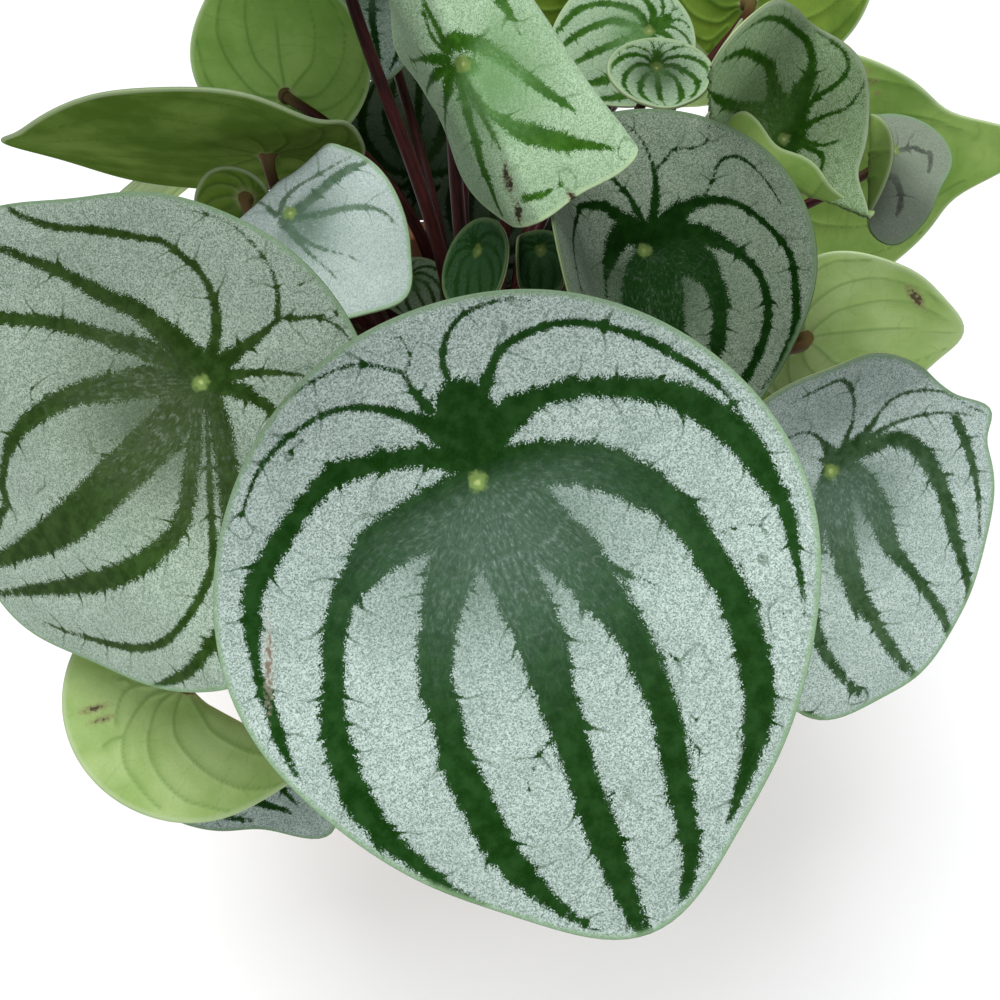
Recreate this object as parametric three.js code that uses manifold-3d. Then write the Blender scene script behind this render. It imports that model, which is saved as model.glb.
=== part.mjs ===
// A potted watermelon peperomia: round leaves held at their middle on red stalks that rise from
// one crown in the soil of a plain clay pot. Millimetres, +Z up, origin under the pot's middle.
import * as THREE from "three";
import { mergeVertices } from "three/addons/utils/BufferGeometryUtils.js";
import Module from "manifold-3d";

// Driving dimensions
const POT_HEIGHT = 112;
const POT_RIM_RADIUS = 66;
const POT_FOOT_RADIUS = 46;
const POT_WALL = 4;
const POT_FLOOR = 6;
const RIM_HEIGHT = 24;
const RIM_STAND_OUT = 3;
const DRAIN_RADIUS = 4;
const DRAIN_RING = 26;
const DRAIN_COUNT = 5;
const SOIL_EDGE = 96;
const SOIL_MOUND = 5;
const STALK_RADIUS = 2.3;
const STALK_DEPTH = 16;
const STALK_STRAIGHT = 4;
const STALK_SIDES = 6;
const STALK_STEPS = 9;
const BLADE_THICKNESS = 0.9;
const GAP = 0.3;
const ROUND = 48;

// Leaf outline, in half-widths from the stalk's spot: a circle set towards the tip, with a point.
const LEAF_CIRCLE = 1.02;
const LEAF_LEAN = 0.42;
const LEAF_POINT = 0.165;
const POINT_SPREAD = 12.8;
const SHOULDER = { at: 42, spread: 20, depth: 0.05 };

// Mesh fineness of a blade, from its half-width
const FINE = { rings: 6, spokes: 26 };
const MIDDLE = { rings: 4, spokes: 20 };
const COARSE = { rings: 3, spokes: 16 };

// The leaves. at: the spot over the stalk; face: the upper side's heading (0 is towards -Y,
// 90 towards +X) and its rise over the horizon, then the tip's turn from straight downhill, all in
// degrees; half: half the width; root: where the stalk leaves the soil; rise: how far the stalk
// climbs before it bends; reach: how squarely it comes to the blade. lobes: [heading, spread,
// amount] lets the outline out or in, in half-widths, about a heading (0 is the tip). bends: [x, y,
// heading, radius, angle] rolls the blade beyond a line through (x, y) half-widths, towards the
// heading, upwards where the angle is positive.
const LEAVES = [
  { name: "front", at: [5, -102, 200], face: [0, 55, 21], half: 50.5, dome: 2, root: [2, -18], rise: 60 },
  { name: "left", at: [-48, -70, 188], face: [-8, 59, -42], half: 50, dome: 2,
    lobes: [[75, 14, 0.16]], bends: [[0, 0.45, 0, 30, -35]], root: [-13, -16], rise: 55 },
  { name: "low_left", at: [-65, -98, 111], face: [-35, -30, 51], half: 30, lean: 0.15, dome: 1,
    lobes: [[35, 30, 0.16]], bends: [[0, 0, 250, 4, 55], [0, 0, 70, 4, 80]],
    root: [-21, -21], rise: 55 },
  { name: "right", at: [81, -65, 153], face: [7, 55, 18], half: 34.5, lean: 0.28, point: -0.03,
    dome: 2, lobes: [[26, 18, 0.36], [273, 7, 0.15]], bends: [[0, -0.16, 176, 5, 42]],
    root: [19, -15], rise: 25, reach: 0.5 },
  { name: "mid_right", at: [44, -4, 161], face: [0, 55, 14], half: 40, lean: 0.16, dome: -1,
    bends: [[0.22, 0, 90, 8, 70], [-0.55, 0, 270, 15, 28]], root: [12, -5], rise: 40 },
  { name: "top_centre", at: [1, 0, 209], face: [16, 40, 56], half: 31.5, lean: 0.3, point: -0.07,
    lobes: [[110, 35, -0.25], [22, 14, -0.1]],
    bends: [[0.1, 0, 128, 4, -84], [-0.32, 0.5, 298, 4, -95]], root: [0, 5], rise: 50 },
  { name: "upper_right", at: [82, 31, 167], face: [0, 55, -118], half: 33.5, dome: -4,
    lobes: [[205, 16, 0.32], [60, 36, -0.2], [282, 32, -0.42], [330, 22, -0.55]],
    bends: [[0, 0.25, 10, 10, 60], [-0.27, -0.15, 272, 1.8, 150]],
    root: [22, 8], rise: 45 },
  { name: "far_right", at: [88, 62, 125], face: [173, -20, -108], half: 38, dome: 3, point: 0.51,
    sharp: 9, root: [26, 18], rise: 35 },
  { name: "grey", at: [119, 49, 150], face: [0, 65, -5], half: 18, lobes: [[-50, 30, -0.25]],
    bends: [[0.2, 0, 90, 4, 120]], root: [33, 9], rise: 42 },
  { name: "right_low", at: [88, -8, 135], face: [180, -17, -98], half: 24, dome: 3,
    root: [29, -4], rise: 45 },
  { name: "left_flat", at: [-53, 35, 160], face: [-176, 37, 88], half: 43, dome: -2,
    root: [-22, 7], rise: 25 },
  { name: "left_small", at: [-43, 5, 165], face: [14, 54, 43], half: 22, dome: -1,
    bends: [[-0.035, -0.17, 193, 3, -80]],
    root: [-17, -6], rise: 45 },
  { name: "upper_left", at: [-53, 71, 152], face: [180, -25, 180], half: 25, dome: 4,
    root: [-10, 35], rise: 55, reach: 0.08 },
  { name: "top_left", at: [-28, 96, 174], face: [0, 65, 5], half: 19, dome: 2,
    root: [-6, 27], rise: 50 },
  { name: "young", at: [3, -3, 160], face: [-60, 35, 64], half: 12, dome: -2,
    root: [5, -6], rise: 40 },
  { name: "shaded", at: [-17, 25, 125], face: [0, 75, 21], half: 10, root: [-12, 14], rise: 15 },
  { name: "rolled", at: [19, 5, 153], face: [0, 65, 0], half: 9,
    bends: [[0.3, 0, 90, 3, 80], [-0.3, 0, 270, 3, 80]], root: [9, 4], rise: 35 },
  { name: "top_striped", at: [52, 88, 162], face: [0, 65, -62], half: 21,
    root: [12, 23], rise: 50 },
  { name: "curled", at: [51, 58, 170], face: [0, 75, 0], half: 14, dome: -4,
    root: [15, 15], rise: 50 },
  { name: "top_green", at: [36, 119, 159], face: [180, -15, -167], half: 30,
    root: [6, 32], rise: 40, reach: 0.1 },
  { name: "top_edge", at: [85, 112, 156], face: [180, -25, -146], half: 32,
    root: [21, 26], rise: 50 },
  { name: "under_mid", at: [91, -2, 116], face: [180, -15, -66], half: 20,
    root: [31, -13], rise: 25, reach: 0.2 },
  { name: "olive", at: [-56, 17, 160], face: [180, -15, 62], half: 10, root: [-14, 4], rise: 12 },
  { name: "inner_left", at: [-17, 74, 122], face: [5, 50, 176], half: 24, dome: 2,
    root: [-11, 42], rise: 40, reach: 0.2 },
  { name: "inner_mid", at: [4, 50, 112], face: [-6, 50, 172], half: 20, dome: 2,
    root: [5, 53], rise: 4, reach: 0.1 },
  { name: "crest", at: [-33, 67, 206], face: [-165, 65, 20], half: 36, dome: 3,
    root: [-4, 13], rise: 60 },
  { name: "back_left", at: [-84, 84, 128], face: [-135, 45, 10], half: 36, dome: 3,
    root: [-21, 22], rise: 38 },
  { name: "back_mid", at: [-4, 128, 132], face: [178, 42, -12], half: 36, dome: 3,
    root: [-2, 36], rise: 80, reach: 0.04 },
  { name: "back_right", at: [60, 142, 124], face: [155, 40, 8], half: 34, dome: 3,
    root: [14, 36], rise: 60 },
];

const LOOKS = {
  pot: { color: 0xb5663f, roughness: 0.85 },
  soil: { color: 0x33261d, roughness: 1 },
  blade: { color: 0x7f9c84, roughness: 0.5 },
  petiole: { color: 0x6b3336, roughness: 0.5 },
};

const wasm = await Module();
wasm.setup();

function material(kind) {
  return new THREE.MeshStandardMaterial({ ...LOOKS[kind], metalness: 0 });
}

function named(name, geometry, kind) {
  const mesh = new THREE.Mesh(geometry, material(kind));
  mesh.name = name;
  return mesh;
}

// Solids

function toSolid(geometry) {
  const bare = geometry.clone();
  bare.deleteAttribute("normal");
  bare.deleteAttribute("uv");
  const merged = mergeVertices(bare, 1e-4);
  return new wasm.Manifold(
    new wasm.Mesh({
      numProp: 3,
      vertProperties: merged.attributes.position.array,
      triVerts: new Uint32Array(merged.index.array),
    }),
  );
}

function fromSolid(solid) {
  const mesh = solid.getMesh();
  const geometry = new THREE.BufferGeometry();
  geometry.setAttribute("position", new THREE.BufferAttribute(mesh.vertProperties, 3));
  geometry.setIndex(new THREE.BufferAttribute(mesh.triVerts, 1));
  geometry.computeVertexNormals();
  return geometry;
}

// A closed ring profile, [radius, height] pairs running anticlockwise, turned about +Z.
function turned(profile, segments) {
  const points = profile.map(([radius, height]) => new THREE.Vector2(radius, height));
  const lathe = new THREE.LatheGeometry(points, segments);
  return lathe.rotateX(Math.PI / 2);
}

function post(radius, bottom, top, x, y, sides) {
  const height = top - bottom;
  const cylinder = new THREE.CylinderGeometry(radius, radius, height, sides);
  return toSolid(cylinder.rotateX(Math.PI / 2).translate(x, y, bottom + height / 2));
}

// Pot

function outerRadius(height) {
  const rimFoot = POT_HEIGHT - RIM_HEIGHT;
  const bodyTop = POT_RIM_RADIUS - RIM_STAND_OUT;
  return POT_FOOT_RADIUS + ((bodyTop - POT_FOOT_RADIUS) * height) / rimFoot;
}

function innerRadius(height) {
  return outerRadius(Math.min(height, POT_HEIGHT - RIM_HEIGHT)) - POT_WALL;
}

function pot() {
  const rimFoot = POT_HEIGHT - RIM_HEIGHT;
  const edge = 1.5;
  const profile = [
    [0, 0],
    [POT_FOOT_RADIUS - edge, 0],
    [POT_FOOT_RADIUS, edge],
    [outerRadius(rimFoot), rimFoot],
    [POT_RIM_RADIUS - 0.5, rimFoot],
    [POT_RIM_RADIUS, rimFoot + edge],
    [POT_RIM_RADIUS, POT_HEIGHT - edge],
    [POT_RIM_RADIUS - edge, POT_HEIGHT],
    [innerRadius(POT_HEIGHT) + edge, POT_HEIGHT],
    [innerRadius(POT_HEIGHT), POT_HEIGHT - edge],
    [innerRadius(rimFoot), rimFoot],
    [innerRadius(POT_FLOOR), POT_FLOOR],
    [0, POT_FLOOR],
  ];
  let solid = toSolid(turned(profile, ROUND));
  for (let i = 0; i < DRAIN_COUNT; i++) {
    const angle = (i / DRAIN_COUNT) * 2 * Math.PI;
    const x = DRAIN_RING * Math.cos(angle);
    const y = DRAIN_RING * Math.sin(angle);
    solid = solid.subtract(post(DRAIN_RADIUS, -1, POT_FLOOR + 1, x, y, 16));
  }
  return named("pot", fromSolid(solid), "pot");
}

// Soil, with a low mound round the crown and a plain hole for each stalk

function soilHeight(radius) {
  return SOIL_EDGE + SOIL_MOUND * Math.exp(-((radius / 38) ** 2));
}

function soil() {
  const profile = [[0, POT_FLOOR + GAP]];
  profile.push([innerRadius(POT_FLOOR) - GAP, POT_FLOOR + GAP]);
  profile.push([innerRadius(POT_HEIGHT - RIM_HEIGHT) - GAP, POT_HEIGHT - RIM_HEIGHT]);
  for (const radius of [innerRadius(POT_HEIGHT) - GAP, 50, 40, 30, 20, 10, 0])
    profile.push([radius, soilHeight(radius)]);
  let solid = toSolid(turned(profile, ROUND / 2));
  for (const { root } of LEAVES) {
    const top = SOIL_EDGE + SOIL_MOUND + 1;
    const bottom = SOIL_EDGE - STALK_DEPTH - GAP;
    solid = solid.subtract(post(STALK_RADIUS + 2 * GAP, bottom, top, root[0], root[1], 8));
  }
  return named("soil", fromSolid(solid), "soil");
}

// Leaves

function outline(theta, leaf) {
  const lean = leaf.lean ?? LEAF_LEAN;
  const degrees = Math.abs(THREE.MathUtils.radToDeg(theta));
  const point = (leaf.point ?? LEAF_POINT) + LEAF_LEAN - lean;
  const circle = Math.sqrt(LEAF_CIRCLE ** 2 - (lean * Math.sin(theta)) ** 2);
  const tip = point * Math.exp(-((degrees / (leaf.sharp ?? POINT_SPREAD)) ** 2));
  const shoulder = SHOULDER.depth * Math.exp(-(((degrees - SHOULDER.at) / SHOULDER.spread) ** 2));
  let reach = lean * Math.cos(theta) + circle + tip - shoulder;
  for (const [heading, spread, amount] of leaf.lobes ?? []) {
    const past = THREE.MathUtils.radToDeg(theta) - heading + 180;
    const away = THREE.MathUtils.euclideanModulo(past, 360) - 180;
    reach += amount * Math.exp(-((away / spread) ** 2));
  }
  return leaf.half * reach;
}

function rolled(p, [x0, y0, heading, radius, angle], half) {
  const a = THREE.MathUtils.degToRad(heading);
  const nx = Math.sin(a);
  const ny = Math.cos(a);
  const past = (p.x - x0 * half) * nx + (p.y - y0 * half) * ny;
  if (past <= 0) return p;
  const full = THREE.MathUtils.degToRad(Math.abs(angle));
  const sign = Math.sign(angle);
  const phi = Math.min(past, radius * full) / radius;
  const rest = Math.max(past - radius * full, 0);
  const along = radius * Math.sin(phi) + rest * Math.cos(phi) - sign * p.z * Math.sin(phi);
  const lift = sign * (radius * (1 - Math.cos(phi)) + rest * Math.sin(phi)) + p.z * Math.cos(phi);
  return new THREE.Vector3(p.x + (along - past) * nx, p.y + (along - past) * ny, lift);
}

function bladePoint(x, y, leaf) {
  const out = (x * x + y * y) / leaf.half ** 2;
  let p = new THREE.Vector3(x, y, -(leaf.dome ?? 0) * out);
  for (const bend of leaf.bends ?? []) p = rolled(p, bend, leaf.half);
  return p;
}

function bladeNormal(x, y, leaf) {
  const step = 0.5;
  const across = bladePoint(x + step, y, leaf).sub(bladePoint(x - step, y, leaf));
  const along = bladePoint(x, y + step, leaf).sub(bladePoint(x, y - step, leaf));
  return across.cross(along).normalize();
}

function fineness(leaf) {
  if (leaf.half > 35) return FINE;
  return leaf.half > 20 ? MIDDLE : COARSE;
}

// Rings of points round the stalk's spot, alike on the upper and the lower face.
function bladeGeometry(leaf) {
  const { rings, spokes } = fineness(leaf);
  const flat = [[0, 0]];
  for (let ring = 1; ring <= rings; ring++)
    for (let spoke = 0; spoke < spokes; spoke++) {
      const theta = (spoke / spokes) * 2 * Math.PI;
      const turn = theta > Math.PI ? theta - 2 * Math.PI : theta;
      const reach = (outline(turn, leaf) * ring) / rings;
      flat.push([reach * Math.sin(theta), reach * Math.cos(theta)]);
    }
  const points = [];
  for (const side of [1, -1])
    for (const [x, y] of flat) {
      const offset = bladeNormal(x, y, leaf).multiplyScalar((side * BLADE_THICKNESS) / 2);
      points.push(...bladePoint(x, y, leaf).add(offset).toArray());
    }
  const under = flat.length;
  const faces = [];
  const both = (a, b, c) => faces.push(a, b, c, a + under, c + under, b + under);
  const at = (ring, spoke) => 1 + (ring - 1) * spokes + (spoke % spokes);
  for (let spoke = 0; spoke < spokes; spoke++) {
    both(0, at(1, spoke + 1), at(1, spoke));
    for (let ring = 1; ring < rings; ring++) {
      const [a, b] = [at(ring, spoke), at(ring, spoke + 1)];
      const [c, d] = [at(ring + 1, spoke), at(ring + 1, spoke + 1)];
      both(a, b, d);
      both(a, d, c);
    }
    const [c, d] = [at(rings, spoke), at(rings, spoke + 1)];
    faces.push(c, d, d + under, c, d + under, c + under);
  }
  const geometry = new THREE.BufferGeometry();
  geometry.setAttribute("position", new THREE.Float32BufferAttribute(points, 3));
  geometry.setIndex(faces);
  geometry.computeVertexNormals();
  return geometry;
}

// The leaf's axes: z out of the upper side, y to the tip, x across.
function leafAxes([heading, rise, turn]) {
  const [a, e, t] = [heading, rise, turn].map(THREE.MathUtils.degToRad);
  const up = new THREE.Vector3(Math.sin(a) * Math.cos(e), -Math.cos(a) * Math.cos(e), Math.sin(e));
  const downhill = new THREE.Vector3(0, 0, -1).addScaledVector(up, up.z).normalize();
  const side = up.clone().cross(downhill);
  const tip = downhill.multiplyScalar(Math.cos(t)).addScaledVector(side, Math.sin(t));
  return { up, tip, across: tip.clone().cross(up) };
}

function blade(leaf) {
  const { up, tip, across } = leafAxes(leaf.face);
  const mesh = named("leaf_" + leaf.name + "_blade", bladeGeometry(leaf), "blade");
  mesh.position.set(...leaf.at);
  mesh.quaternion.setFromRotationMatrix(new THREE.Matrix4().makeBasis(across, tip, up));
  return mesh;
}

// A stalk runs straight up out of the soil, then bends and meets the blade square to it.
function petiole(leaf) {
  const { up } = leafAxes(leaf.face);
  const [x, y] = leaf.root;
  const foot = soilHeight(Math.hypot(x, y));
  const top = new THREE.Vector3(...leaf.at).addScaledVector(up, -BLADE_THICKNESS / 2 - GAP);
  const start = new THREE.Vector3(x, y, foot + STALK_STRAIGHT);
  const reach = start.distanceTo(top);
  const square = top.clone().addScaledVector(up, -2);
  const bend = new THREE.CubicBezierCurve3(
    start,
    new THREE.Vector3(x, y, start.z + leaf.rise),
    top.clone().addScaledVector(up, -(leaf.reach ?? 0.3) * reach),
    top,
  );
  const bottom = new THREE.Vector3(x, y, SOIL_EDGE - STALK_DEPTH);
  const points = [bottom, ...bend.getPoints(8).slice(0, -1), square, top];
  const section = new THREE.Shape();
  for (let side = 0; side < STALK_SIDES; side++) {
    const angle = (side / STALK_SIDES) * 2 * Math.PI;
    const corner = [STALK_RADIUS * Math.cos(angle), STALK_RADIUS * Math.sin(angle)];
    if (side === 0) section.moveTo(...corner);
    else section.lineTo(...corner);
  }
  section.closePath();
  const path = new THREE.CatmullRomCurve3(points);
  const settings = { steps: STALK_STEPS, bevelEnabled: false, extrudePath: path };
  const geometry = new THREE.ExtrudeGeometry(section, settings);
  return named("leaf_" + leaf.name + "_petiole", geometry, "petiole");
}

const plant = new THREE.Group();
for (const leaf of LEAVES) plant.add(blade(leaf), petiole(leaf));

const whole = new THREE.Group();
whole.add(pot(), soil(), plant);

export default whole;
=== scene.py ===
"""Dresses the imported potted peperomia: fine blades with their veins, round stalks, soil and pot.

The leaf list and its formulas are those of the part's source. Lengths in the lists are
millimetres, and every mesh is placed in metres in the part's own frame.
"""

import math

import bpy
import numpy as np
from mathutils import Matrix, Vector, noise


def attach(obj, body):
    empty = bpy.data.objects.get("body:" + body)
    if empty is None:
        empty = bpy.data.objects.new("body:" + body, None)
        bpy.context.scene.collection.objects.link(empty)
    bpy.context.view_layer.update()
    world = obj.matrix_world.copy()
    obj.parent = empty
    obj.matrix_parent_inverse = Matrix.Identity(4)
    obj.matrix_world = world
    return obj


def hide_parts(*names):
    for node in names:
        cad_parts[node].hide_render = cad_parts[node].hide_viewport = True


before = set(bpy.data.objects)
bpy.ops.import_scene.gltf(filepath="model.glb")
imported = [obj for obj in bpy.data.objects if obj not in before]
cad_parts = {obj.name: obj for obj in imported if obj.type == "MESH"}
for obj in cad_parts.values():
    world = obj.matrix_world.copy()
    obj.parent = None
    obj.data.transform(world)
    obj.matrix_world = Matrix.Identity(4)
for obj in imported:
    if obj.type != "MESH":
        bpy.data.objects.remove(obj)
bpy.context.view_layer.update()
MM = 0.001
FAR = 1000

# Shared with the part's source

POT_HEIGHT = 112
POT_RIM_RADIUS = 66
POT_FOOT_RADIUS = 46
POT_WALL = 4
POT_FLOOR = 6
RIM_HEIGHT = 24
RIM_STAND_OUT = 3
DRAIN_RADIUS = 4
DRAIN_RING = 26
DRAIN_COUNT = 5
SOIL_EDGE = 96
SOIL_MOUND = 5
MOUND_RADIUS = 38
STALK_RADIUS = 2.3
STALK_DEPTH = 16
STALK_STRAIGHT = 4
STALK_REACH = 0.3
BLADE_THICKNESS = 0.9
GAP = 0.3

LEAF_CIRCLE = 1.02
LEAF_LEAN = 0.42
LEAF_POINT = 0.165
POINT_SPREAD = 12.8
SHOULDER = (42, 20, 0.05)

LEAVES = {
    "front": dict(at=(5, -102, 200), face=(0, 55, 21), half=50.5, dome=2, root=(2, -18), rise=60),
    "left": dict(at=(-48, -70, 188), face=(-8, 59, -42), half=50, dome=2,
                 lobes=((75, 14, 0.16),), bends=((0, 0.45, 0, 30, -35),), root=(-13, -16), rise=55),
    "low_left": dict(at=(-65, -98, 111), face=(-35, -30, 51), half=30, lean=0.15, dome=1,
                     lobes=((35, 30, 0.16),), bends=((0, 0, 250, 4, 55), (0, 0, 70, 4, 80)),
                     root=(-21, -21), rise=55),
    "right": dict(at=(81, -65, 153), face=(7, 55, 18), half=34.5, lean=0.28, point=-0.03, dome=2,
                  lobes=((26, 18, 0.36), (273, 7, 0.15)), bends=((0, -0.16, 176, 5, 42),),
                  root=(19, -15), rise=25, reach=0.5),
    "mid_right": dict(at=(44, -4, 161), face=(0, 55, 14), half=40, lean=0.16, dome=-1,
                      bends=((0.22, 0, 90, 8, 70), (-0.55, 0, 270, 15, 28)),
                      root=(12, -5), rise=40),
    "top_centre": dict(at=(1, 0, 209), face=(16, 40, 56), half=31.5, lean=0.3, point=-0.07,
                       lobes=((110, 35, -0.25), (22, 14, -0.1)),
                       bends=((0.1, 0, 128, 4, -84), (-0.32, 0.5, 298, 4, -95)),
                       root=(0, 5), rise=50),
    "upper_right": dict(at=(82, 31, 167), face=(0, 55, -118), half=33.5, dome=-4,
                        lobes=((205, 16, 0.32), (60, 36, -0.2), (282, 32, -0.42), (330, 22, -0.55)),
                        bends=((0, 0.25, 10, 10, 60), (-0.27, -0.15, 272, 1.8, 150)),
                        root=(22, 8), rise=45),
    "far_right": dict(at=(88, 62, 125), face=(173, -20, -108), half=38, dome=3, point=0.51,
                      sharp=9, root=(26, 18), rise=35),
    "grey": dict(at=(119, 49, 150), face=(0, 65, -5), half=18, lobes=((-50, 30, -0.25),),
                 bends=((0.2, 0, 90, 4, 120),), root=(33, 9), rise=42),
    "right_low": dict(at=(88, -8, 135), face=(180, -17, -98), half=24, dome=3,
                      root=(29, -4), rise=45),
    "left_flat": dict(at=(-53, 35, 160), face=(-176, 37, 88), half=43, dome=-2,
                      root=(-22, 7), rise=25),
    "left_small": dict(at=(-43, 5, 165), face=(14, 54, 43), half=22, dome=-1,
                       bends=((-0.035, -0.17, 193, 3, -80),), root=(-17, -6), rise=45),
    "upper_left": dict(at=(-53, 71, 152), face=(180, -25, 180), half=25, dome=4,
                       root=(-10, 35), rise=55, reach=0.08),
    "top_left": dict(at=(-28, 96, 174), face=(0, 65, 5), half=19, dome=2, root=(-6, 27), rise=50),
    "young": dict(at=(3, -3, 160), face=(-60, 35, 64), half=12, dome=-2, root=(5, -6), rise=40),
    "shaded": dict(at=(-17, 25, 125), face=(0, 75, 21), half=10, root=(-12, 14), rise=15),
    "rolled": dict(at=(19, 5, 153), face=(0, 65, 0), half=9,
                   bends=((0.3, 0, 90, 3, 80), (-0.3, 0, 270, 3, 80)), root=(9, 4), rise=35),
    "top_striped": dict(at=(52, 88, 162), face=(0, 65, -62), half=21, root=(12, 23), rise=50),
    "curled": dict(at=(51, 58, 170), face=(0, 75, 0), half=14, dome=-4, root=(15, 15), rise=50),
    "top_green": dict(at=(36, 119, 159), face=(180, -15, -167), half=30, root=(6, 32), rise=40,
                      reach=0.1),
    "top_edge": dict(at=(85, 112, 156), face=(180, -25, -146), half=32, root=(21, 26), rise=50),
    "under_mid": dict(at=(91, -2, 116), face=(180, -15, -66), half=20, root=(31, -13), rise=25,
                      reach=0.2),
    "olive": dict(at=(-56, 17, 160), face=(180, -15, 62), half=10, root=(-14, 4), rise=12),
    "inner_left": dict(at=(-17, 74, 122), face=(5, 50, 176), half=24, dome=2, root=(-11, 42),
                       rise=40, reach=0.2),
    "inner_mid": dict(at=(4, 50, 112), face=(-6, 50, 172), half=20, dome=2, root=(5, 53),
                      rise=4, reach=0.1),
    "crest": dict(at=(-33, 67, 206), face=(-165, 65, 20), half=36, dome=3, root=(-4, 13), rise=60),
    "back_left": dict(at=(-84, 84, 128), face=(-135, 45, 10), half=36, dome=3,
                      root=(-21, 22), rise=38),
    "back_mid": dict(at=(-4, 128, 132), face=(178, 42, -12), half=36, dome=3,
                     root=(-2, 36), rise=80, reach=0.04),
    "back_right": dict(at=(60, 142, 124), face=(155, 40, 8), half=34, dome=3,
                       root=(14, 36), rise=60),
}

# The scene's own detail, in mm. A blade has a dimple at its stalk, its skin sinks a little over
# the veins, puffs up between them and has ribs below them. A stalk's taper is [share of its
# length, radius].
DIMPLE_DEPTH = 0.9
DIMPLE_RADIUS = 3.2
TOP_SINK = 0.1
PUFF = 0.3
PUFF_REACH = 3
RIB = 0.35
RIB_REACH = 0.9
MARGIN_FADE = 4
RIM_TILT = np.radians([60, 30, 0, -30, -60])[:, None]
# The smooth, dark zone in front of the stalk's spot, which also carries painted sheen, in half-widths.
SMOOTH_SHEEN_AT = 0.22
SMOOTH_SHEEN_LENGTH = 0.36
SMOOTH_SHEEN_WIDTH = 0.4
LEAF_SEED = 7.3
STALK_SEED = 5.1
STALK_SIDES = 18
STALK_STEPS = 34
STALK_TAPER = ((0, 2.25), (0.12, STALK_RADIUS), (0.25, 2.1), (0.9, 1.6), (1, 1.65))
STALK_FLARE = 1.1
STALK_FLARE_REACH = 1.6
SOIL_LIFT = 1.2
SOIL_LUMPS = 0.9
SOIL_WAVES = 0.8
CRUMB_COUNT = 520
CRUMB_EDGE = 57.5
CRUMB_LIMIT = 58.3
CRUMB_PULLED_TO = 57
POT_SIDES = 144
POT_AXIS = 0.01

# What the scene adds to a leaf. wave: [height mm, count, phase] of its margin. top and under name
# its materials. scars: [across, along, half length, half width, turn], in mm and degrees.
# painted_light: how much painted light the blade keeps, lower is painted shade. rear_painted_shade: how
# much painted shade darkens its rear. cup_painted_shade: how much painted shade darkens its inside. shades:
# [across, along, heading, softness, depth], painted shade past a line, in half-widths.
DRESS = {
    "front": dict(wave=(0.8, 3, 40), scars=((43, 16, 4.3, 0.45, 22),), rear_painted_shade=0.5,
                  shades=((0, 0.7, 0, 1.2, 0.14),)),
    "left": dict(wave=(1.2, 4, 0), top="sage", shades=((0.2, 0.4, 137, 1.1, 0.45),)),
    "low_left": dict(under="pale", painted_light=0.7,
                     scars=((-9, -18, 1.8, 0.5, 30), (-11, -15.5, 1.3, 0.4, 30))),
    "right": dict(wave=(0.8, 4, 90), top="mist", painted_light=0.84, rear_painted_shade=0.42),
    "mid_right": dict(wave=(0.8, 3, 0), top="forest", painted_light=0.44),
    "top_centre": dict(wave=(0.7, 5, 60), top="mint", under="green", painted_light=0.84,
                       shades=((-0.08, -0.1, 129, 0.06, 0.4),),
                       scars=((16.8, 17.4, 1.7, 0.5, 60), (18.6, 19.2, 1.3, 0.4, 60),
                              (23, 23.2, 1.8, 0.6, 60), (15.2, 33, 1.6, 0.7, 20),
                              (18.5, -7, 1.6, 0.6, 60))),
    "upper_right": dict(wave=(1.2, 4, 30), top="lime", under="green", painted_light=0.68, cup_painted_shade=0.3,
                        shades=((0.25, 0.2, 120, 0.6, 0.4),)),
    "far_right": dict(wave=(1.5, 4, 200), under="green", painted_light=0.82,
                      scars=((33, 30, 0.9, 0.6, 0), (29, 33.5, 0.7, 0.5, 0), (26, 35, 0.9, 0.6, 20),
                             (22.5, 35.5, 0.6, 0.5, 0))),
    "grey": dict(top="grey", under="green", painted_light=0.7, shades=((0, 0.3, 35, 0.6, 0.5),)),
    "right_low": dict(wave=(1.2, 4, 120), under="pale", painted_light=0.76, shades=((0, 0.3, 215, 1, 0.4),),
                      scars=((10.5, 26.3, 3.3, 1.0, -55),)),
    "left_flat": dict(wave=(1.2, 4, 20), under="moss", painted_light=0.85),
    "left_small": dict(wave=(0.8, 4, 10), top="frost", rear_painted_shade=0.45),
    "upper_left": dict(wave=(1.0, 4, 10), under="green"),
    "top_striped": dict(top="mint", under="green", painted_light=0.6),
    "curled": dict(top="mint", under="green", painted_light=0.6, cup_painted_shade=0.55),
    "top_green": dict(under="olive"),
    "top_edge": dict(under="olive"),
    "under_mid": dict(under="green", painted_light=0.6),
    "olive": dict(under="olive", painted_light=0.7),
    # The young, shaded, rolled and inner leaves lie deep in the plant, and their low values darken them
    # with painted shade.
    "young": dict(top="plain_painted_shade", under="pale", painted_light=0.4),
    "shaded": dict(top="mint", painted_light=0.2),
    "rolled": dict(top="plain_painted_shade", painted_light=0.35),
    "inner_left": dict(top="mint", painted_light=0.12),
    "inner_mid": dict(top="mint", painted_light=0.08),
}

# The camera: its place in mm, its tilt from straight down, its lens and the square picture's size
CAMERA_AT = (8.7, -207.8, 345.8)
CAMERA_TILT = 35
CAMERA_LENS = 39.6
CAMERA_SENSOR = 36
PICTURE = 1000
PIXELS_AHEAD = PICTURE * CAMERA_LENS / CAMERA_SENSOR
LIGHTS_AIM = (0, 0, 0.12)

# A point of the picture is carried to the nearest point of a grid over the blade, with a little
# favour for what lies nearer the camera, unless it misses that point by more than the limit
GRID_RINGS = 320
GRID_SPOKES = 1080
DEPTH_FAVOUR = 0.02
MISS_LIMIT = 9

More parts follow.
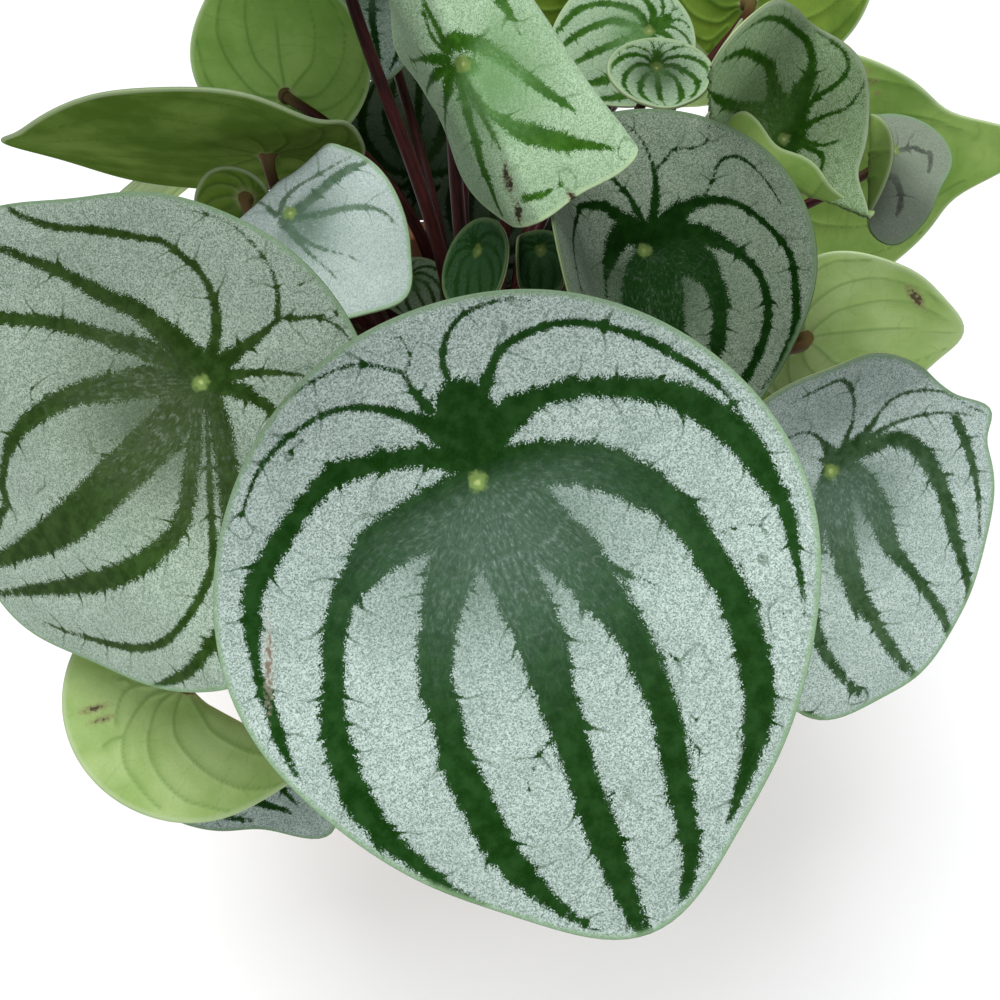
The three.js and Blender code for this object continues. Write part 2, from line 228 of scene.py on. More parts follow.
# Veins of one side of a plain blade: [along, across] in half-widths from the stalk's spot, and the
# band's widths at even shares of its length.
VEINS = [
    ([(0, 0), (0.24, 0.2), (0.36, 0.3), (0.55, 0.36), (0.78, 0.39), (0.97, 0.375), (1.12, 0.34),
      (1.28, 0.275), (1.4, 0.2), (1.5, 0.147)], (0.1, 0.115, 0.115, 0.03)),
    ([(0, 0), (-0.01, 0.14), (0, 0.27), (0.06, 0.4), (0.2, 0.53), (0.35, 0.63), (0.51, 0.69),
      (0.7, 0.717), (0.88, 0.68), (1.03, 0.62), (1.14, 0.57), (1.25, 0.49), (1.32, 0.42)],
     (0.1, 0.105, 0.105, 0.03)),
    ([(-0.05, 0.05), (-0.16, 0.17), (-0.18, 0.32), (-0.16, 0.47), (-0.1, 0.6), (0, 0.72),
      (0.13, 0.82), (0.27, 0.89), (0.42, 0.905), (0.55, 0.915), (0.62, 0.912)],
     (0.1, 0.085, 0.085, 0.02)),
    ([(-0.1, 0.05), (-0.26, 0.1), (-0.33, 0.19), (-0.38, 0.33), (-0.38, 0.46), (-0.33, 0.6),
      (-0.24, 0.7), (-0.06, 0.84), (0.07, 0.91)], (0.06, 0.035, 0.03, 0.008)),
    ([(-0.28, 0.03), (-0.42, 0.07), (-0.49, 0.14), (-0.51, 0.25), (-0.49, 0.38)],
     (0.05, 0.022, 0.004)),
    ([(-0.38, 0.46), (-0.45, 0.5), (-0.5, 0.56)], (0.02, 0.012, 0.002)),
    ([(-0.42, 0.07), (-0.5, 0.04), (-0.56, 0.06)], (0.02, 0.012, 0.002)),
]
VEIN_SWING = 0.018
VEIN_WAVER = 0.012
VEIN_SEED = 37
HUB_RADIUS = 0.13
DRAWN_HUB_RADIUS = 0.06
MIDRIB = ([(0, 0), (0.3, 0.01), (0.6, 0.02), (0.9, 0.015), (1.2, 0.005), (1.5, 0)],
          (0.08, 0.12, 0.1, 0.03))
CROWN_PATCH = ([(-0.02, 0), (-0.1, 0), (-0.2, 0), (-0.27, 0)], (0.1, 0.27, 0.2))

# The whole pattern of the leaves that show most, drawn as points [right, down] of the photo's
# 1000 by 1000 picture, with the band's widths there at even shares of its length
DRAWN = {
    "front": [
        ([(480, 490), (500, 540), (520, 590), (540, 640), (555, 690), (575, 750), (595, 810), (612, 860),
          (630, 900), (645, 935)], (40, 50, 52, 48, 38, 32, 36, 30, 14)),
        ([(490, 480), (515, 500), (545, 530), (575, 560), (600, 590), (630, 630), (650, 670), (665, 720),
          (675, 770), (686, 820), (690, 860), (682, 900)], (60, 62, 56, 44, 34, 32, 32, 27, 22, 8)),
        ([(490, 472), (540, 464), (590, 464), (640, 484), (680, 515), (710, 555), (735, 600), (752, 650),
          (760, 700), (752, 750), (735, 800), (725, 825)], (50, 46, 46, 38, 34, 34, 36, 34, 18, 4)),
        ([(495, 430), (530, 403), (570, 390), (620, 387), (670, 395), (710, 415), (745, 445), (770, 480),
          (785, 510), (795, 550), (803, 590), (806, 620)], (44, 22, 20, 24, 31, 34, 26, 16, 8, 2)),
        ([(478, 410), (488, 375), (500, 350), (520, 335), (550, 325), (580, 323), (620, 330), (650, 342),
          (690, 365), (720, 390), (745, 415)], (22, 9, 9, 8, 9, 10, 8, 3)),
        ([(462, 410), (446, 375), (442, 355), (447, 335), (460, 318), (480, 305), (505, 299), (530, 299)],
          (18, 8, 7, 6, 5, 3, 2)),
        ([(430, 410), (412, 390), (403, 375), (385, 368), (360, 365), (335, 370), (310, 385), (290, 400),
          (275, 408)], (16, 5, 4, 4, 4, 3, 2)),
        ([(403, 375), (412, 360), (405, 345), (400, 338), (390, 340)], (2, 2, 1.5)),
        ([(445, 432), (410, 418), (380, 410), (350, 410), (320, 418), (295, 435), (275, 450), (260, 470),
          (248, 495), (240, 520)], (34, 12, 8, 6, 6, 6, 4, 3)),
        ([(465, 462), (430, 458), (395, 460), (360, 468), (330, 480), (305, 505), (285, 535), (268, 560),
          (255, 590), (252, 620), (254, 650), (258, 680), (270, 710), (282, 745), (300, 780)],
          (26, 22, 22, 26, 20, 22, 25, 21, 9, 15, 13, 4)),
        ([(470, 492), (440, 512), (410, 530), (380, 550), (360, 575), (345, 600), (335, 640), (333, 680),
          (335, 720), (345, 765), (360, 800), (385, 835), (420, 865), (455, 890), (490, 905)],
          (50, 60, 50, 32, 25, 24, 28, 32, 28, 21, 13, 4)),
        ([(476, 500), (462, 545), (445, 590), (436, 635), (437, 680), (447, 720), (457, 760), (475, 800),
          (500, 845), (530, 880), (560, 905), (600, 930)], (50, 58, 44, 36, 34, 34, 36, 35, 28, 14, 4)),
        ([(478, 478), (474, 450), (468, 425), (462, 408)], (24, 60, 84, 60)),
        ([(722, 532), (745, 526), (770, 523)], (6, 2, 1.2)),
        ([(688, 718), (715, 724), (745, 735)], (5, 1.5, 2)),
        ([(735, 568), (760, 558)], (4, 1)),
        ([(596, 562), (628, 576), (655, 585)], (16, 7, 1)),
        ([(665, 656), (690, 662)], (7, 1)),
        ([(752, 600), (772, 613), (790, 612)], (9, 3, 1)),
        ([(562, 732), (540, 752), (526, 790)], (9, 3, 1)),
        ([(588, 773), (608, 788), (625, 797)], (7, 2, 1)),
        ([(305, 440), (290, 455)], (3, 1)),
        ([(690, 742), (712, 760)], (4, 1)),
    ],
    "left": [
        ([(205, 378), (214, 345), (216, 320), (212, 295), (200, 272), (185, 258), (165, 245), (141, 240),
          (120, 234), (90, 230), (60, 228), (35, 222), (15, 212), (2, 203)], (24, 12, 8, 7, 7, 9, 9, 7, 5)),
        ([(198, 375), (175, 345), (155, 325), (135, 310), (110, 298), (85, 285), (55, 271), (25, 258),
          (2, 248)], (44, 28, 20, 16, 13, 11, 9)),
        ([(185, 375), (150, 352), (115, 340), (80, 330), (45, 323), (20, 320), (2, 318)],
          (36, 22, 17, 15, 14, 13)),
        ([(195, 383), (150, 384), (110, 388), (75, 396), (45, 409), (25, 426), (12, 446), (7, 465),
          (7, 485), (10, 500), (5, 515), (1, 527)], (36, 32, 27, 22, 17, 13, 11, 10)),
        ([(195, 390), (168, 428), (142, 455), (115, 480), (90, 505), (60, 530), (35, 545), (4, 560)],
          (38, 46, 46, 43, 36, 26, 16)),
        ([(199, 395), (196, 440), (192, 480), (187, 510), (178, 530), (160, 550), (138, 565), (110, 577),
          (80, 585), (40, 590), (2, 592)], (12, 16, 18, 21, 25, 24, 19, 12, 9)),
        ([(206, 400), (209, 440), (213, 500), (214, 545), (211, 570), (200, 598), (185, 622), (165, 640),
          (140, 648), (110, 646), (75, 636), (45, 624)], (4, 6, 8, 9, 9, 10, 10, 6, 4)),
        ([(212, 395), (222, 430), (228, 470), (232, 520), (233, 580), (226, 620), (205, 655), (185, 674),
          (150, 690)], (22, 24, 22, 18, 14, 14, 12, 4)),
        ([(215, 387), (240, 393), (265, 406), (285, 425)], (20, 14, 10)),
        ([(215, 379), (250, 374), (280, 373), (305, 377)], (26, 10, 6, 3)),
        ([(212, 372), (240, 350), (262, 335), (280, 320), (300, 318), (320, 320), (340, 330), (352, 342)],
          (30, 16, 11, 5, 6, 4, 2)),
        ([(279, 322), (278, 295), (272, 270), (260, 252), (245, 235), (225, 222), (205, 215), (180, 210)],
          (7, 4, 3, 2, 1.5, 1)),
        ([(300, 286), (320, 274)], (2, 1)),
        ([(345, 308), (332, 318)], (2, 1)),
        ([(75, 490), (105, 478), (118, 482)], (1, 3, 9)),
        ([(50, 498), (78, 497), (95, 505)], (1, 3, 9)),
        ([(30, 386), (45, 393), (60, 402)], (1, 2, 6)),
        ([(100, 370), (125, 374), (150, 378)], (1, 2, 5)),
        ([(110, 440), (130, 440), (145, 448)], (1, 3, 8)),
        ([(30, 505), (45, 520), (60, 528)], (1, 2, 6)),
    ],
    "grey": [
        ([(869, 163), (880, 156), (892, 152), (905, 150), (918, 151), (929, 155)], (4, 5, 6, 6, 6, 4)),
        ([(929, 153), (930, 162), (928, 172)], (5, 6, 4)),
        ([(879, 178), (889, 177), (896, 183), (900, 194), (900, 206), (896, 216)], (3, 4, 6, 7, 6, 4)),
    ],
    "mid_right": [
        ([(650, 245), (653, 212), (655, 185), (652, 165), (645, 145), (632, 130), (615, 123), (600, 120)],
          (20, 12, 8, 4, 3, 2, 1.5)),
        ([(655, 172), (665, 160), (675, 150), (690, 148), (705, 143), (708, 130), (710, 122)], (3, 3, 2)),
        ([(668, 230), (680, 213), (695, 203), (715, 201), (735, 204), (755, 215), (775, 232), (790, 255),
          (797, 285), (796, 320), (788, 345), (775, 375), (765, 387)], (36, 16, 8, 6, 6, 7, 8, 9, 9, 7, 5)),
        ([(703, 200), (712, 180), (718, 165), (725, 158), (738, 158), (755, 168), (770, 185), (782, 205)],
          (3, 4, 4, 2, 1)),
        ([(665, 240), (700, 237), (725, 245), (745, 258), (760, 275), (768, 300), (768, 325), (760, 350),
          (750, 370), (740, 385)], (40, 26, 12, 9, 9, 10, 10, 10)),
        ([(665, 255), (695, 262), (712, 282), (719, 305), (719, 335), (714, 362), (705, 385)],
          (50, 36, 20, 16, 14, 13)),
        ([(655, 262), (664, 285), (667, 310), (670, 335), (672, 360)], (40, 38, 34, 28, 20)),
        ([(645, 262), (637, 285), (634, 305), (640, 330)], (30, 28, 26, 20)),
        ([(645, 240), (625, 232), (615, 245), (609, 262), (605, 280), (606, 300)], (22, 26, 22, 12, 4, 3)),
        ([(645, 232), (620, 217), (605, 207), (590, 205), (580, 208), (575, 220), (572, 240), (574, 260),
          (578, 280), (583, 297)], (22, 14, 9, 6, 6, 5, 4, 3)),
        ([(643, 225), (630, 200), (618, 185), (608, 175), (602, 168)], (8, 6, 5, 3)),
    ],
    "top_centre": [
        ([(449, 52), (440, 35), (430, 15), (424, 2)], (12, 6, 5, 4)),
        ([(444, 50), (432, 37), (425, 18), (422, 4)], (5, 3, 2)),
        ([(445, 60), (425, 58), (415, 60)], (14, 5, 2)),
        ([(445, 68), (430, 84), (424, 98)], (12, 5, 2)),
        ([(450, 70), (447, 100), (446, 130), (447, 152)], (14, 7, 4, 2)),
        ([(457, 70), (465, 100), (470, 120), (475, 140), (483, 165), (490, 185), (497, 205), (501, 216)],
          (16, 9, 8, 8, 9, 8, 5)),
        ([(462, 78), (478, 108), (490, 130), (500, 150)], (10, 6, 5, 2)),
        ([(460, 68), (470, 88), (485, 108), (500, 120), (520, 131), (545, 139), (570, 143), (590, 145),
          (610, 148), (620, 150)], (12, 5, 8, 14, 22, 21, 14, 7, 3)),
        ([(452, 42), (470, 42), (490, 51), (510, 65), (530, 80), (550, 95), (565, 105), (575, 112)],
          (18, 15, 14, 12, 12, 9, 3)),
        ([(500, 0), (510, 15), (520, 35)], (12, 6, 1)),
        ([(525, 198), (540, 195), (555, 188), (565, 180)], (9, 7, 4, 2)),
    ],
    "upper_right": [
        ([(785, 140), (778, 110), (772, 85), (768, 65), (755, 55), (740, 50), (725, 55), (708, 65)],
          (40, 28, 14, 10, 9, 8, 7, 3)),
        ([(790, 135), (794, 110), (801, 95), (810, 75), (812, 55), (805, 38), (790, 25), (775, 18),
          (755, 20), (735, 32)], (36, 22, 10, 8, 7, 6, 5, 2)),
        ([(795, 120), (815, 100), (835, 85), (847, 70), (843, 55), (830, 40), (815, 28)],
          (14, 6, 5, 4, 4, 2)),
        ([(795, 132), (820, 118), (845, 108), (858, 95), (865, 80)], (12, 5, 4, 3, 2)),
        ([(795, 140), (820, 146), (840, 140)], (10, 4, 2)),
        ([(785, 125), (765, 112), (745, 110), (725, 102), (705, 93)], (26, 16, 13, 10, 4)),
        ([(800, 145), (815, 152), (822, 165), (825, 178)], (8, 4, 3, 2)),
    ],
    "right": [
        ([(838, 466), (845, 440), (852, 420), (853, 400), (848, 385), (838, 378), (820, 385), (805, 393),
          (790, 403)], (24, 7, 3, 4, 6, 4, 3, 1.5)),
        ([(833, 460), (820, 440), (805, 432), (787, 437)], (20, 5, 3, 3)),
        ([(845, 455), (868, 430), (880, 410), (895, 397), (920, 390), (945, 393), (965, 405), (985, 415)],
          (20, 8, 3, 3, 3, 2, 2)),
        ([(850, 450), (885, 428), (910, 418), (940, 413), (970, 415)], (10, 4, 3, 2)),
        ([(840, 460), (868, 448), (890, 440), (907, 442), (922, 455), (938, 480), (948, 505), (955, 535),
          (962, 560), (968, 590), (970, 605)], (24, 14, 17, 19, 18, 16, 13, 10, 6)),
        ([(955, 420), (965, 445), (972, 470), (978, 500), (980, 540)], (11, 10, 7, 4, 2)),
        ([(838, 468), (865, 490), (880, 520), (890, 545), (905, 565), (925, 590), (940, 615), (950, 635)],
          (36, 32, 26, 16, 12, 10, 8)),
        ([(833, 478), (838, 520), (845, 560), (855, 590), (870, 615), (885, 640), (900, 660), (913, 675)],
          (32, 32, 30, 24, 17, 13, 12, 10)),
        ([(828, 478), (815, 540), (812, 590), (818, 640), (840, 674), (860, 693), (882, 713)],
          (24, 18, 14, 10, 13, 12, 9)),
        ([(850, 595), (856, 612), (858, 625)], (12, 8, 2)),
        ([(803, 715), (825, 725), (840, 728)], (8, 8, 2)),
    ],
    "left_small": [
        ([(284, 222), (296, 212), (309, 202), (322, 190), (335, 179), (351, 169), (370, 162), (388, 160)],
          (12, 11, 9, 8, 9, 9, 7, 3)),
        ([(284, 221), (300, 218), (321, 215), (345, 209), (370, 208), (386, 214), (396, 226)],
          (12, 8, 7, 6, 6, 4, 2)),
        ([(280, 214), (284, 200), (298, 187), (316, 176), (338, 164), (352, 157)], (7, 4, 3, 3, 2, 1)),
        ([(285, 226), (300, 238), (318, 248), (338, 254), (360, 262), (378, 276)], (10, 6, 4, 3, 2, 1)),
        ([(288, 230), (308, 252), (328, 270), (345, 288), (356, 300)], (7, 4, 3, 2, 1)),
        ([(276, 216), (266, 206), (258, 203)], (6, 4, 2)),
    ],
}


# Meshes


def turns(count):
    """Angles at even steps round a circle."""
    return np.arange(count) / count * 2 * math.pi


def make_mesh(name, points, rings, fans=(), kinds=None):
    """A mesh in metres from points in mm, four-cornered faces and three-cornered ones."""
    quads = np.asarray(rings, dtype=np.int32).reshape(-1, 4)
    tris = np.asarray(fans, dtype=np.int32).reshape(-1, 3)
    mesh = bpy.data.meshes.new(name)
    mesh.vertices.add(len(points))
    mesh.vertices.foreach_set("co", (np.asarray(points) * MM).astype(np.float32).ravel())
    mesh.loops.add(quads.size + tris.size)
    mesh.loops.foreach_set("vertex_index", np.concatenate([quads.ravel(), tris.ravel()]))
    mesh.polygons.add(len(quads) + len(tris))
    starts = np.concatenate([np.arange(len(quads)) * 4, quads.size + np.arange(len(tris)) * 3])
    mesh.polygons.foreach_set("loop_start", starts.astype(np.int32))
    if kinds is not None:
        mesh.polygons.foreach_set("material_index", np.asarray(kinds, dtype=np.int32))
    mesh.update(calc_edges=True)
    mesh.validate()
    mesh.shade_smooth()
    return mesh


def add_piece(name, mesh, materials, nodes=()):
    piece = bpy.data.objects.new(name, mesh)
    bpy.context.scene.collection.objects.link(piece)
    for material in materials:
        mesh.materials.append(material)
    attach(piece, "root")
    if nodes:
        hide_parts(*nodes)
    return piece


def store(mesh, name, field, ends):
    """Stores three numbers for each ring point of a mesh, and then for its two end points."""
    layer = mesh.attributes.new(name, "FLOAT_VECTOR", "POINT")
    values = np.concatenate([field.reshape(-1, 3), ends])
    layer.data.foreach_set("vector", values.astype(np.float32).ravel())


def ring_faces(rows, count):
    """Faces between successive rings of count points, and the row that each face is in."""
    row, spot = np.meshgrid(np.arange(rows - 1), np.arange(count), indexing="ij")
    after = (spot + 1) % count
    a, b = row * count + spot, row * count + after
    return np.stack([a, b, b + count, a + count], -1).reshape(-1, 4), row.ravel()


def closed_faces(rows, count):
    """The same with fans over both ends, round two end points that follow the rings' points."""
    quads, row = ring_faces(rows, count)
    spot = np.arange(count)
    after = (spot + 1) % count
    start, end = (rows - 1) * count, rows * count
    fans = [np.stack([np.full(count, end), after, spot], -1),
            np.stack([np.full(count, end + 1), start + spot, start + after], -1)]
    return quads, np.concatenate(fans), row


# Blades


def outline(theta, leaf):
    """How far the blade reaches from its stalk's spot at each angle from its tip."""
    lean = leaf.get("lean", LEAF_LEAN)
    degrees = np.degrees(theta)
    point = leaf.get("point", LEAF_POINT) + LEAF_LEAN - lean
    circle = np.sqrt(LEAF_CIRCLE**2 - (lean * np.sin(theta)) ** 2)
    tip = point * np.exp(-((degrees / leaf.get("sharp", POINT_SPREAD)) ** 2))
    at, spread, depth = SHOULDER
    shoulder = depth * np.exp(-(((np.abs(degrees) - at) / spread) ** 2))
    reach = lean * np.cos(theta) + circle + tip - shoulder
    for heading, spread, amount in leaf.get("lobes", ()):
        away = (degrees - heading + 180) % 360 - 180
        reach = reach + amount * np.exp(-((away / spread) ** 2))
    return leaf["half"] * reach


def rolled(p, bend, half):
    """Rolls what lies past a line over a radius, through an angle."""
    x0, y0, heading, radius, angle = bend
    a = math.radians(heading)
    nx, ny = math.sin(a), math.cos(a)
    past = (p[..., 0] - x0 * half) * nx + (p[..., 1] - y0 * half) * ny
    full = math.radians(abs(angle))
    sign = math.copysign(1, angle)
    phi = np.clip(past, 0, radius * full) / radius
    rest = np.clip(past - radius * full, 0, None)
    sin, cos = np.sin(phi), np.cos(phi)
    along = radius * sin + rest * cos - sign * p[..., 2] * sin
    lift = sign * (radius * (1 - cos) + rest * sin) + p[..., 2] * cos
    out = p.copy()
    beyond = past > 0
    out[..., 0] = np.where(beyond, p[..., 0] + (along - past) * nx, p[..., 0])
    out[..., 1] = np.where(beyond, p[..., 1] + (along - past) * ny, p[..., 1])
    out[..., 2] = np.where(beyond, lift, p[..., 2])
    return out


def surface(x, y, leaf):
    """The blade's middle surface over its flat places x, y, in the blade's own axes."""
    half = leaf["half"]
    out = (x * x + y * y) / half**2
    z = -leaf.get("dome", 0) * out
    height, count, phase = leaf.get("wave", (0, 3, 0))
    theta = np.arctan2(x, y)
    reach = np.sqrt(x * x + y * y) / outline(theta, leaf)
    turn = math.radians(phase)
    ripple = np.sin(count * theta + turn) + 0.5 * np.sin((2 * count - 1) * theta + 2 * turn)
    z = z + height * ripple * np.clip(reach, 0, 1.1) ** 3
    z = z - DIMPLE_DEPTH * np.exp(-out * (half / DIMPLE_RADIUS) ** 2)
    p = np.stack([x, y, z], -1)
    for bend in leaf.get("bends", ()):
        p = rolled(p, bend, half)
    return p


def surface_normal(x, y, leaf, step=0.25):
    across = surface(x + step, y, leaf) - surface(x - step, y, leaf)
    along = surface(x, y + step, leaf) - surface(x, y - step, leaf)
    n = np.cross(across, along)
    return n / np.linalg.norm(n, axis=-1, keepdims=True)


def leaf_axes(face):
    """The blade's own axes as rows: across, towards the tip, and up."""
    a, e, t = map(math.radians, face)
    up = np.array([math.sin(a) * math.cos(e), -math.cos(a) * math.cos(e), math.sin(e)])
    downhill = np.array([0, 0, -1]) + up * up[2]
    downhill /= np.linalg.norm(downhill)
    tip = downhill * math.cos(t) + np.cross(up, downhill) * math.sin(t)
    return np.stack([np.cross(tip, up), tip, up])


# Veins


def smooth_line(points, per=5):
    """The polyline drawn finer by Catmull-Rom."""
    p = np.array([points[0], *points, points[-1]], dtype=float)
    out = []
    for i in range(1, len(p) - 2):
        a, b, c, d = p[i - 1 : i + 3]
        for t in np.arange(per) / per:
            out.append(0.5 * (2 * b + (c - a) * t + (2 * a - 5 * b + 4 * c - d) * t**2
                              + (3 * b - a - 3 * c + d) * t**3))
    return np.array(out + [p[-1]])


def line_distance(u, v, line):
    """Each place's distance from a polyline, how far along it that is, and the line's length."""
    best = np.full(u.shape, np.inf)
    along = np.zeros(u.shape)
    run = 0.0
    for a, b in zip(line[:-1], line[1:]):
        d = b - a
        size = math.hypot(*d)
        s = np.clip(((u - a[0]) * d[0] + (v - a[1]) * d[1]) / size**2, 0, 1)
        away = np.hypot(u - a[0] - s * d[0], v - a[1] - s * d[1])
        closer = away < best
        best = np.where(closer, away, best)
        along = np.where(closer, run + s * size, along)
        run += size
    return best, along, run


def pictured(points):
    """Where places fall in the picture, in its pixels, and how deep they lie in mm."""
    tilt = math.radians(CAMERA_TILT)
    ahead = np.array([0, math.sin(tilt), -math.cos(tilt)])
    upward = np.array([0, math.cos(tilt), math.sin(tilt)])
    line = points - np.array(CAMERA_AT)
    depth = line @ ahead
    right = PICTURE / 2 + PIXELS_AHEAD * line[..., 0] / depth
    down = PICTURE / 2 - PIXELS_AHEAD * (line @ upward) / depth
    return right, down, depth


def drawn_veins(name, leaf):
    """The leaf's drawn pattern, carried from the picture to the blade's plane in half-widths."""
    half = leaf["half"]
    theta = np.linspace(-math.pi, math.pi, GRID_SPOKES, endpoint=False)
    reach = np.linspace(0, 1, GRID_RINGS)[:, None] * outline(theta, leaf)
    x, y = reach * np.sin(theta), reach * np.cos(theta)
    flat = surface(x, y, {**leaf, "wave": (0, 3, 0)})
    right, down, depth = pictured(np.array(leaf["at"]) + flat @ leaf_axes(leaf["face"]))
    veins = []
    for points, widths in DRAWN[name]:
        line, depths = [], []
        for point in points:
            miss = np.hypot(right - point[0], down - point[1])
            nearest = np.unravel_index(np.argmin(miss + DEPTH_FAVOUR * depth), miss.shape)
            spot = (round(y[nearest] / half, 2), round(x[nearest] / half, 2))
            if miss[nearest] < MISS_LIMIT and spot not in line[-1:]:
                line.append(spot)
                depths.append(depth[nearest])
        if len(line) > 1:
            size = np.mean(depths) / PIXELS_AHEAD / half
            veins.append((line, [width * size for width in widths]))
    return veins


def vein_fields(x, y, name, leaf, rng):
    """The fields that draw a blade's bands: mm along its nearest vein, mm from it, and mm past the
    band's edge, and then mm by which the next vein is farther, and the band's width."""
    half = leaf["half"]
    u, v = y / half, x / half
    if name in DRAWN:
        lines = [(vein, 1, True) for vein in drawn_veins(name, leaf)]
        hub, loose = DRAWN_HUB_RADIUS, 0
    else:
        u = u + (LEAF_LEAN - leaf.get("lean", LEAF_LEAN)) * np.clip(u / 1.6, -0.3, 1)
        lines = [(MIDRIB, 1, True), (CROWN_PATCH, 1, False)]
        lines += [(vein, side, True) for side in (1, -1) for vein in VEINS]
        hub, loose = HUB_RADIUS, 1
    run = np.zeros(x.shape)
    nearest, second, past, broad = np.full(x.shape, FAR), np.full(x.shape, FAR), FAR, run
    for number, ((points, widths), side, is_vein) in enumerate(lines):
        line = smooth_line(points)
        reach = np.hypot(line[:, 0], line[:, 1])
        grown = loose * np.clip(reach / 0.5, 0, 1)
        swing = rng.normal(0, VEIN_SWING, 2)
        for axis in (0, 1):
            waver = VEIN_WAVER * np.sin((5 + axis) * reach + rng.uniform(0, 6))
            line[:, axis] += grown * (swing[axis] + waver)
        line[:, 1] *= side
        away, along, length = line_distance(u, v, line)
        share = along / length
        wide = np.interp(share, np.linspace(0, 1, len(widths)), widths)
        wide = wide * (1 + 0.1 * loose * np.sin(9 * share + rng.uniform(0, 6)))
        beyond = (away - wide / 2) * half
        broad = np.where(beyond < past, wide * half, broad)
        past = np.minimum(past, beyond)
        if is_vein:
            away = away * half
            closer = away < nearest
            second = np.where(closer, nearest, np.minimum(second, away))
            run = np.where(closer, along * half + VEIN_SEED * number, run)
            nearest = np.minimum(nearest, away)
    around = 1 + np.clip(np.cos(np.arctan2(v, u)), 0, 1) ** 2
    merged = (np.hypot(u, v) - hub * around) * half
    broad = np.where(merged <= past, 4, broad)
    return (np.stack([run, nearest, np.minimum(past, merged)], -1),
            np.stack([second - nearest, broad], -1))


# A blade's skin and shading


def scar_field(x, y, leaf):
    """Distance in mm from the leaf's nearest scar, less than 0 inside it."""
    field = np.full(x.shape, 50.0)
    for across, along, length, width, turn in leaf.get("scars", ()):
        a = math.radians(turn)
        dx, dy = x - across, y - along
        p = (dx * math.sin(a) + dy * math.cos(a)) / length
        q = (dx * math.cos(a) - dy * math.sin(a)) / width
        field = np.minimum(field, (np.hypot(p, q) - 1) * width)
    return field


def smooth_sheen_field(u, v):
    """1 in front of the stalk's spot, where the blade is smooth and dark and carries painted sheen, and 0
    far from it.
    """
    sheen_zone = np.exp(-(((u - SMOOTH_SHEEN_AT) / SMOOTH_SHEEN_LENGTH) ** 2) - (v / SMOOTH_SHEEN_WIDTH) ** 2)
    return sheen_zone * np.clip(u / 0.12 + 0.4, 0, 1)


def painted_shade_field(u, v, share, leaf):
    """How much painted light each place keeps, from 1 down to 0; lower is painted shade."""
    painted_light = leaf.get("painted_light", 1) * (1 - leaf.get("rear_painted_shade", 0) * np.clip(0.5 - u, 0, 1))
    for across, along, heading, soft, depth in leaf.get("shades", ()):
        a = math.radians(heading)
        past = (v - across) * math.sin(a) + (u - along) * math.cos(a)
        painted_light = painted_light * (1 - depth * np.clip(past / soft + 0.5, 0, 1))
    return painted_light * (1 - leaf.get("cup_painted_shade", 0) * np.clip(1.6 - 1.8 * share, 0, 1))


def skin_offset(away, inset, rings):
    """How far the skin stands off the middle surface, over the top, round the rim and below."""
    edge = BLADE_THICKNESS / 2
    fade = np.clip(inset / MARGIN_FADE, 0, 1)
    puff = PUFF * (1 - np.exp(-((away / PUFF_REACH) ** 2))) * fade
    rib = RIB * np.exp(-((away / RIB_REACH) ** 2)) * fade
    row = np.arange(len(inset))[:, None]
    offset = np.where(row < rings, edge + puff - TOP_SINK, -edge - rib)
    offset[rings : rings + len(RIM_TILT)] = edge * np.sin(RIM_TILT)
    return offset


def fineness(half):
    """How many rings and spokes a blade of this half-width has on each side."""
    if half > 45:
        return 60, 252
    return (42, 190) if half > 28 else (26, 128)


def blade(name, leaf, number):
    rng = np.random.default_rng(100 + number)
    half, edge = leaf["half"], BLADE_THICKNESS / 2
    rings, spokes = fineness(half)
    theta = turns(spokes)
    theta = np.where(theta > math.pi, theta - 2 * math.pi, theta)
    full = outline(theta, leaf)
    flat = (np.arange(1, rings + 1) / rings)[:, None] * (full - edge)
    reach = np.concatenate([flat, full - edge + edge * np.cos(RIM_TILT), flat[::-1]])
    x, y = reach * np.sin(theta), reach * np.cos(theta)

    top = slice(rings + len(RIM_TILT))
    fields = vein_fields(x[top], y[top], name, leaf, rng)
    flow, strip = [np.concatenate([field, field[:rings][::-1]]) for field in fields]
    offset = skin_offset(flow[..., 1], full - reach, rings)
    points = surface(x, y, leaf) + surface_normal(x, y, leaf) * offset[..., None]
    ends = surface(np.zeros(2), np.zeros(2), leaf) + np.array([[0, 0, edge - TOP_SINK], [0, 0, -edge]])
    local = np.concatenate([points.reshape(-1, 3), ends])
    world = np.array(leaf["at"]) + local @ leaf_axes(leaf["face"])
    quads, fans, rows = closed_faces(len(reach), spokes)
    is_under = np.concatenate([rows > rings + 1, np.zeros(spokes), np.ones(spokes)])
    mesh = make_mesh("leaf_" + name, world, quads, fans, is_under)

    u, v = y / half, x / half
    seed = number * LEAF_SEED
    marks = [np.full(x.shape, seed), scar_field(x, y, leaf), smooth_sheen_field(u, v)]
    # The painted shade of each place: over the whole blade, towards its rear, past drawn lines and inside a
    # cup.
    painted_light = painted_shade_field(u, v, reach / full, leaf)
    store(mesh, "flow", flow, [[0, 0, -3]] * 2)
    store(mesh, "strip", np.dstack([strip, painted_light]), [[0, 4, leaf.get("painted_light", 1)]] * 2)
    store(mesh, "plane", np.stack([x, y, full - reach], -1), [[0, 0, 20]] * 2)
    store(mesh, "marks", np.stack(marks, -1), [[seed, 50, 0]] * 2)
    materials = [TOPS[leaf.get("top", "silver")], UNDERS[leaf.get("under", "green")]]
    add_piece("blade_" + name, mesh, materials, ["leaf_" + name + "_blade"])


# Stalks


def soil_height(radius):
    return SOIL_EDGE + SOIL_MOUND * math.exp(-((radius / MOUND_RADIUS) ** 2))


